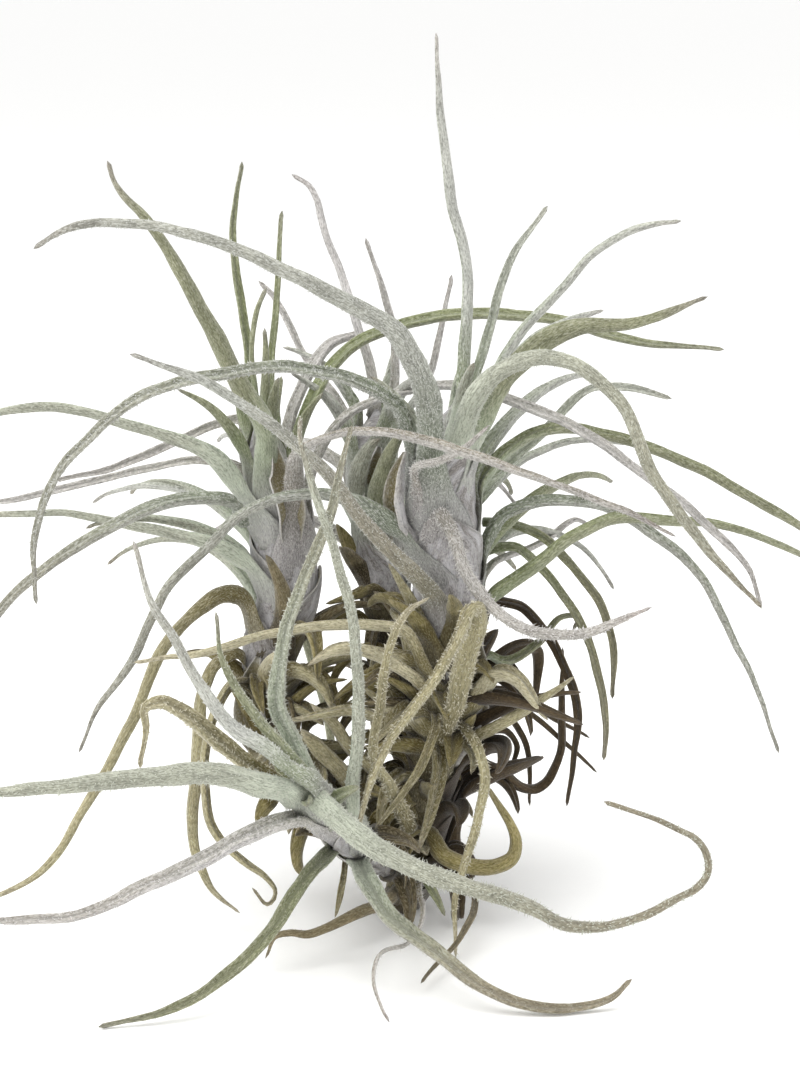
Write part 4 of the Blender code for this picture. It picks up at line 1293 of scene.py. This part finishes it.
def make_open_sheath(name, node, low, high, heading, width, off):
    """A gutter that stands against its stem with its hollow side out."""
    stem = STEM_OF[node]
    rng = seeded(name)
    rows, columns = 26, 21
    v = np.linspace(0, 1, rows)[:, None]
    u = np.linspace(-1, 1, columns)[None]
    s = np.broadcast_to(stem.length * (low + (high - low) * v), (rows, columns))
    axis, radius, _, out, turn = stem.facing(s, math.radians(heading))
    half = 0.5 * width * MM * (0.6 + 0.4 * np.sin(v**0.8 * math.pi)) * np.sqrt(np.clip((1 - v) * 3, 0.05, 1))
    wave = 0.12 * np.sin(v * 9 + rng.random() * 6) + 0.06 * np.cos(v * 23)
    hollow = half * (1.25 * np.abs(u) ** 2.2 + wave * np.abs(u))
    stand = radius + (off + 1.2 * ease((v - 0.6) / 0.4)) * MM
    stand = stand - (1.5 + off) * MM * ease((0.5 - v) / 0.5) ** 2
    front = axis + (stand + hollow)[..., None] * out + (half * np.sin(u * 1.45))[..., None] * turn
    wall = (0.16 + 0.2 * np.sqrt(np.maximum(1 - u**4, 0))) * MM
    away = unit(-out + turn * u[..., None] * 1.4)
    back = front + away * np.broadcast_to(wall, (rows, columns))[..., None]
    ring = np.concatenate([front, back[:, ::-1]], axis=1)
    if not faces_out(ring):
        ring = ring[::-1]
        v = v[::-1]
    lane = np.concatenate([u[0], u[0, ::-1]])
    place = np.zeros((rows, 2 * columns, 3))
    place[..., 0] = 0.7 * width * lane
    place[..., 1] = v * (high - low) * stem.length / MM
    marks = np.zeros((rows, 2 * columns, 3))
    marks[..., 0] = np.where(np.arange(2 * columns) < columns, 1, 0)
    marks[..., 2] = np.maximum(np.abs(lane) ** 8, ease((v - 0.9) / 0.1))
    surface = Surface()
    surface.tube(ring, place, marks)
    keep(surface.build(name, sheath_material()))


class AIRPLANT_OT_tangle(bpy.types.Operator):
    """Build the tangle of short dry leaves round the old stems"""

    bl_idname = "airplant.tangle"
    bl_label = "Old tangle"

    def execute(self, context):
        for row in TANGLE:
            make_tangle(*row)
        return {"FINISHED"}


def make_tangle(node, kind, count, low, high, side, stray, shortest, longest):
    """One kind of short dry leaf round one stem, as one piece."""
    stem = STEM_OF[node]
    name = f"{node.removesuffix('_stem')}_{kind}_tangle"
    rng = seeded(name)
    surface = Surface()
    sheets = []
    lanes = math.ceil(math.sqrt(count))
    for k in range(count):
        s = stem.length * (low + (high - low) * (k + rng.uniform(-0.6, 1.6)) / count)
        heading = math.radians(side + stray * (2 * ((k * SPREAD) % 1) - 1))
        length = rng.uniform(shortest, longest) * MM
        width = rng.uniform(*TANGLE_WIDTHS) * MM
        angles = (TANGLE_RISES, TANGLE_CURLS, TANGLE_SWINGS)
        rise, curl, swing = (math.radians(rng.uniform(*ends)) for ends in angles)
        path = drooping_path(stem, s, heading, length, width, rise, curl, swing)
        points, place, marks = leaf_parts(f"{name}_{k}", kind, path)
        x0 = 0.02 + 0.96 * (k % lanes) / lanes
        y0 = 0.03 + 0.94 * (k // lanes) / lanes
        surface.tube(points, place, marks, (x0, y0, x0 + 0.9 / lanes, y0 + 0.85 / lanes))
        sheets.append(points)
    keep(surface.build(name, leaf_material(kind)))
    keep(hair_mesh(name + "_hairs", sheets, kind, TANGLE_HAIRS, rng))


class AIRPLANT_OT_stage(bpy.types.Operator):
    """Set out the pale floor, the soft studio lights and the camera"""

    bl_idname = "airplant.stage"
    bl_label = "Stage"

    def execute(self, context):
        make_floor()
        make_lights()
        make_camera()
        return {"FINISHED"}


def make_floor():
    """A pale board under the plant."""
    mesh = bpy.data.meshes.new("studio_floor")
    corners = [(x * FLOOR_HALF, y * FLOOR_HALF, 0) for x, y in ((-1, -1), (1, -1), (1, 1), (-1, 1))]
    mesh.from_pydata(corners, [], [(0, 1, 2, 3)])
    mesh.materials.append(floor_material())
    floor = stood("studio_floor", mesh)
    floor.location.z = -FLOOR_DROP


def aimed(name, data, place):
    """A light or camera that looks at the middle of the plant."""
    made = stood(name, data)
    made.location = place
    made.rotation_euler = (SCENE_MIDDLE - Vector(place)).to_track_quat("-Z", "Y").to_euler()
    return made


def make_lights():
    """Softboxes in an even white surround."""
    for name, place, size, power in SOFTBOXES:
        data = bpy.data.lights.new(name, "AREA")
        data.shape = "RECTANGLE"
        data.size, data.size_y = size
        data.energy = power
        aimed(name, data, place)
    world = bpy.data.worlds.new("pale_studio")
    world.use_nodes = True
    background = world.node_tree.nodes["Background"].inputs
    background["Color"].default_value = (1, 1, 1, 1)
    background["Strength"].default_value = 1.0
    bpy.context.scene.world = world
    bpy.context.scene.view_settings.view_transform = "Standard"


def make_camera():
    """A long lens a little above the plant."""
    data = bpy.data.cameras.new("camera")
    data.lens = FOCAL_LENGTH
    data.sensor_width = SENSOR_WIDTH
    data.sensor_fit = "HORIZONTAL"
    back = Vector((0, -math.cos(CAMERA_RISE), math.sin(CAMERA_RISE)))
    bpy.context.scene.camera = aimed("camera", data, SCENE_MIDDLE + CAMERA_DISTANCE * back)


class VIEW3D_PT_air_plant(bpy.types.Panel):
    """Lists what can be built, and the settings"""

    bl_label = "Air Plant"
    bl_space_type = "VIEW_3D"
    bl_region_type = "UI"
    bl_category = "Air Plant"

    def draw(self, context):
        layout = self.layout
        for operator in OPERATORS:
            layout.operator(operator.bl_idname)
        groups = [settings().shape, settings().sheath, *(getattr(settings(), kind) for kind in KINDS)]
        for group in groups:
            box = layout.box()
            for field in group.__annotations__:
                box.prop(group, field)


OPERATORS = (
    AIRPLANT_OT_stems,
    AIRPLANT_OT_right_leaves,
    AIRPLANT_OT_left_leaves,
    AIRPLANT_OT_back_leaves,
    AIRPLANT_OT_front_leaves,
    AIRPLANT_OT_old_leaves,
    AIRPLANT_OT_small_leaves,
    AIRPLANT_OT_more_leaves,
    AIRPLANT_OT_tangle,
    AIRPLANT_OT_open_sheaths,
    AIRPLANT_OT_stage,
)
CLASSES = (
    AirPlantShape,
    AirPlantSheath,
    *FINISH_GROUPS.values(),
    AirPlantSettings,
    *OPERATORS,
    VIEW3D_PT_air_plant,
)


def register():
    for cls in CLASSES:
        bpy.utils.register_class(cls)
    bpy.types.Scene.air_plant = PointerProperty(type=AirPlantSettings)


def unregister():
    del bpy.types.Scene.air_plant
    for cls in reversed(CLASSES):
        bpy.utils.unregister_class(cls)


def main():
    register()
    for operator in OPERATORS:
        group, name = operator.bl_idname.split(".")
        getattr(getattr(bpy.ops, group), name)()


if __name__ == "__main__":
    main()
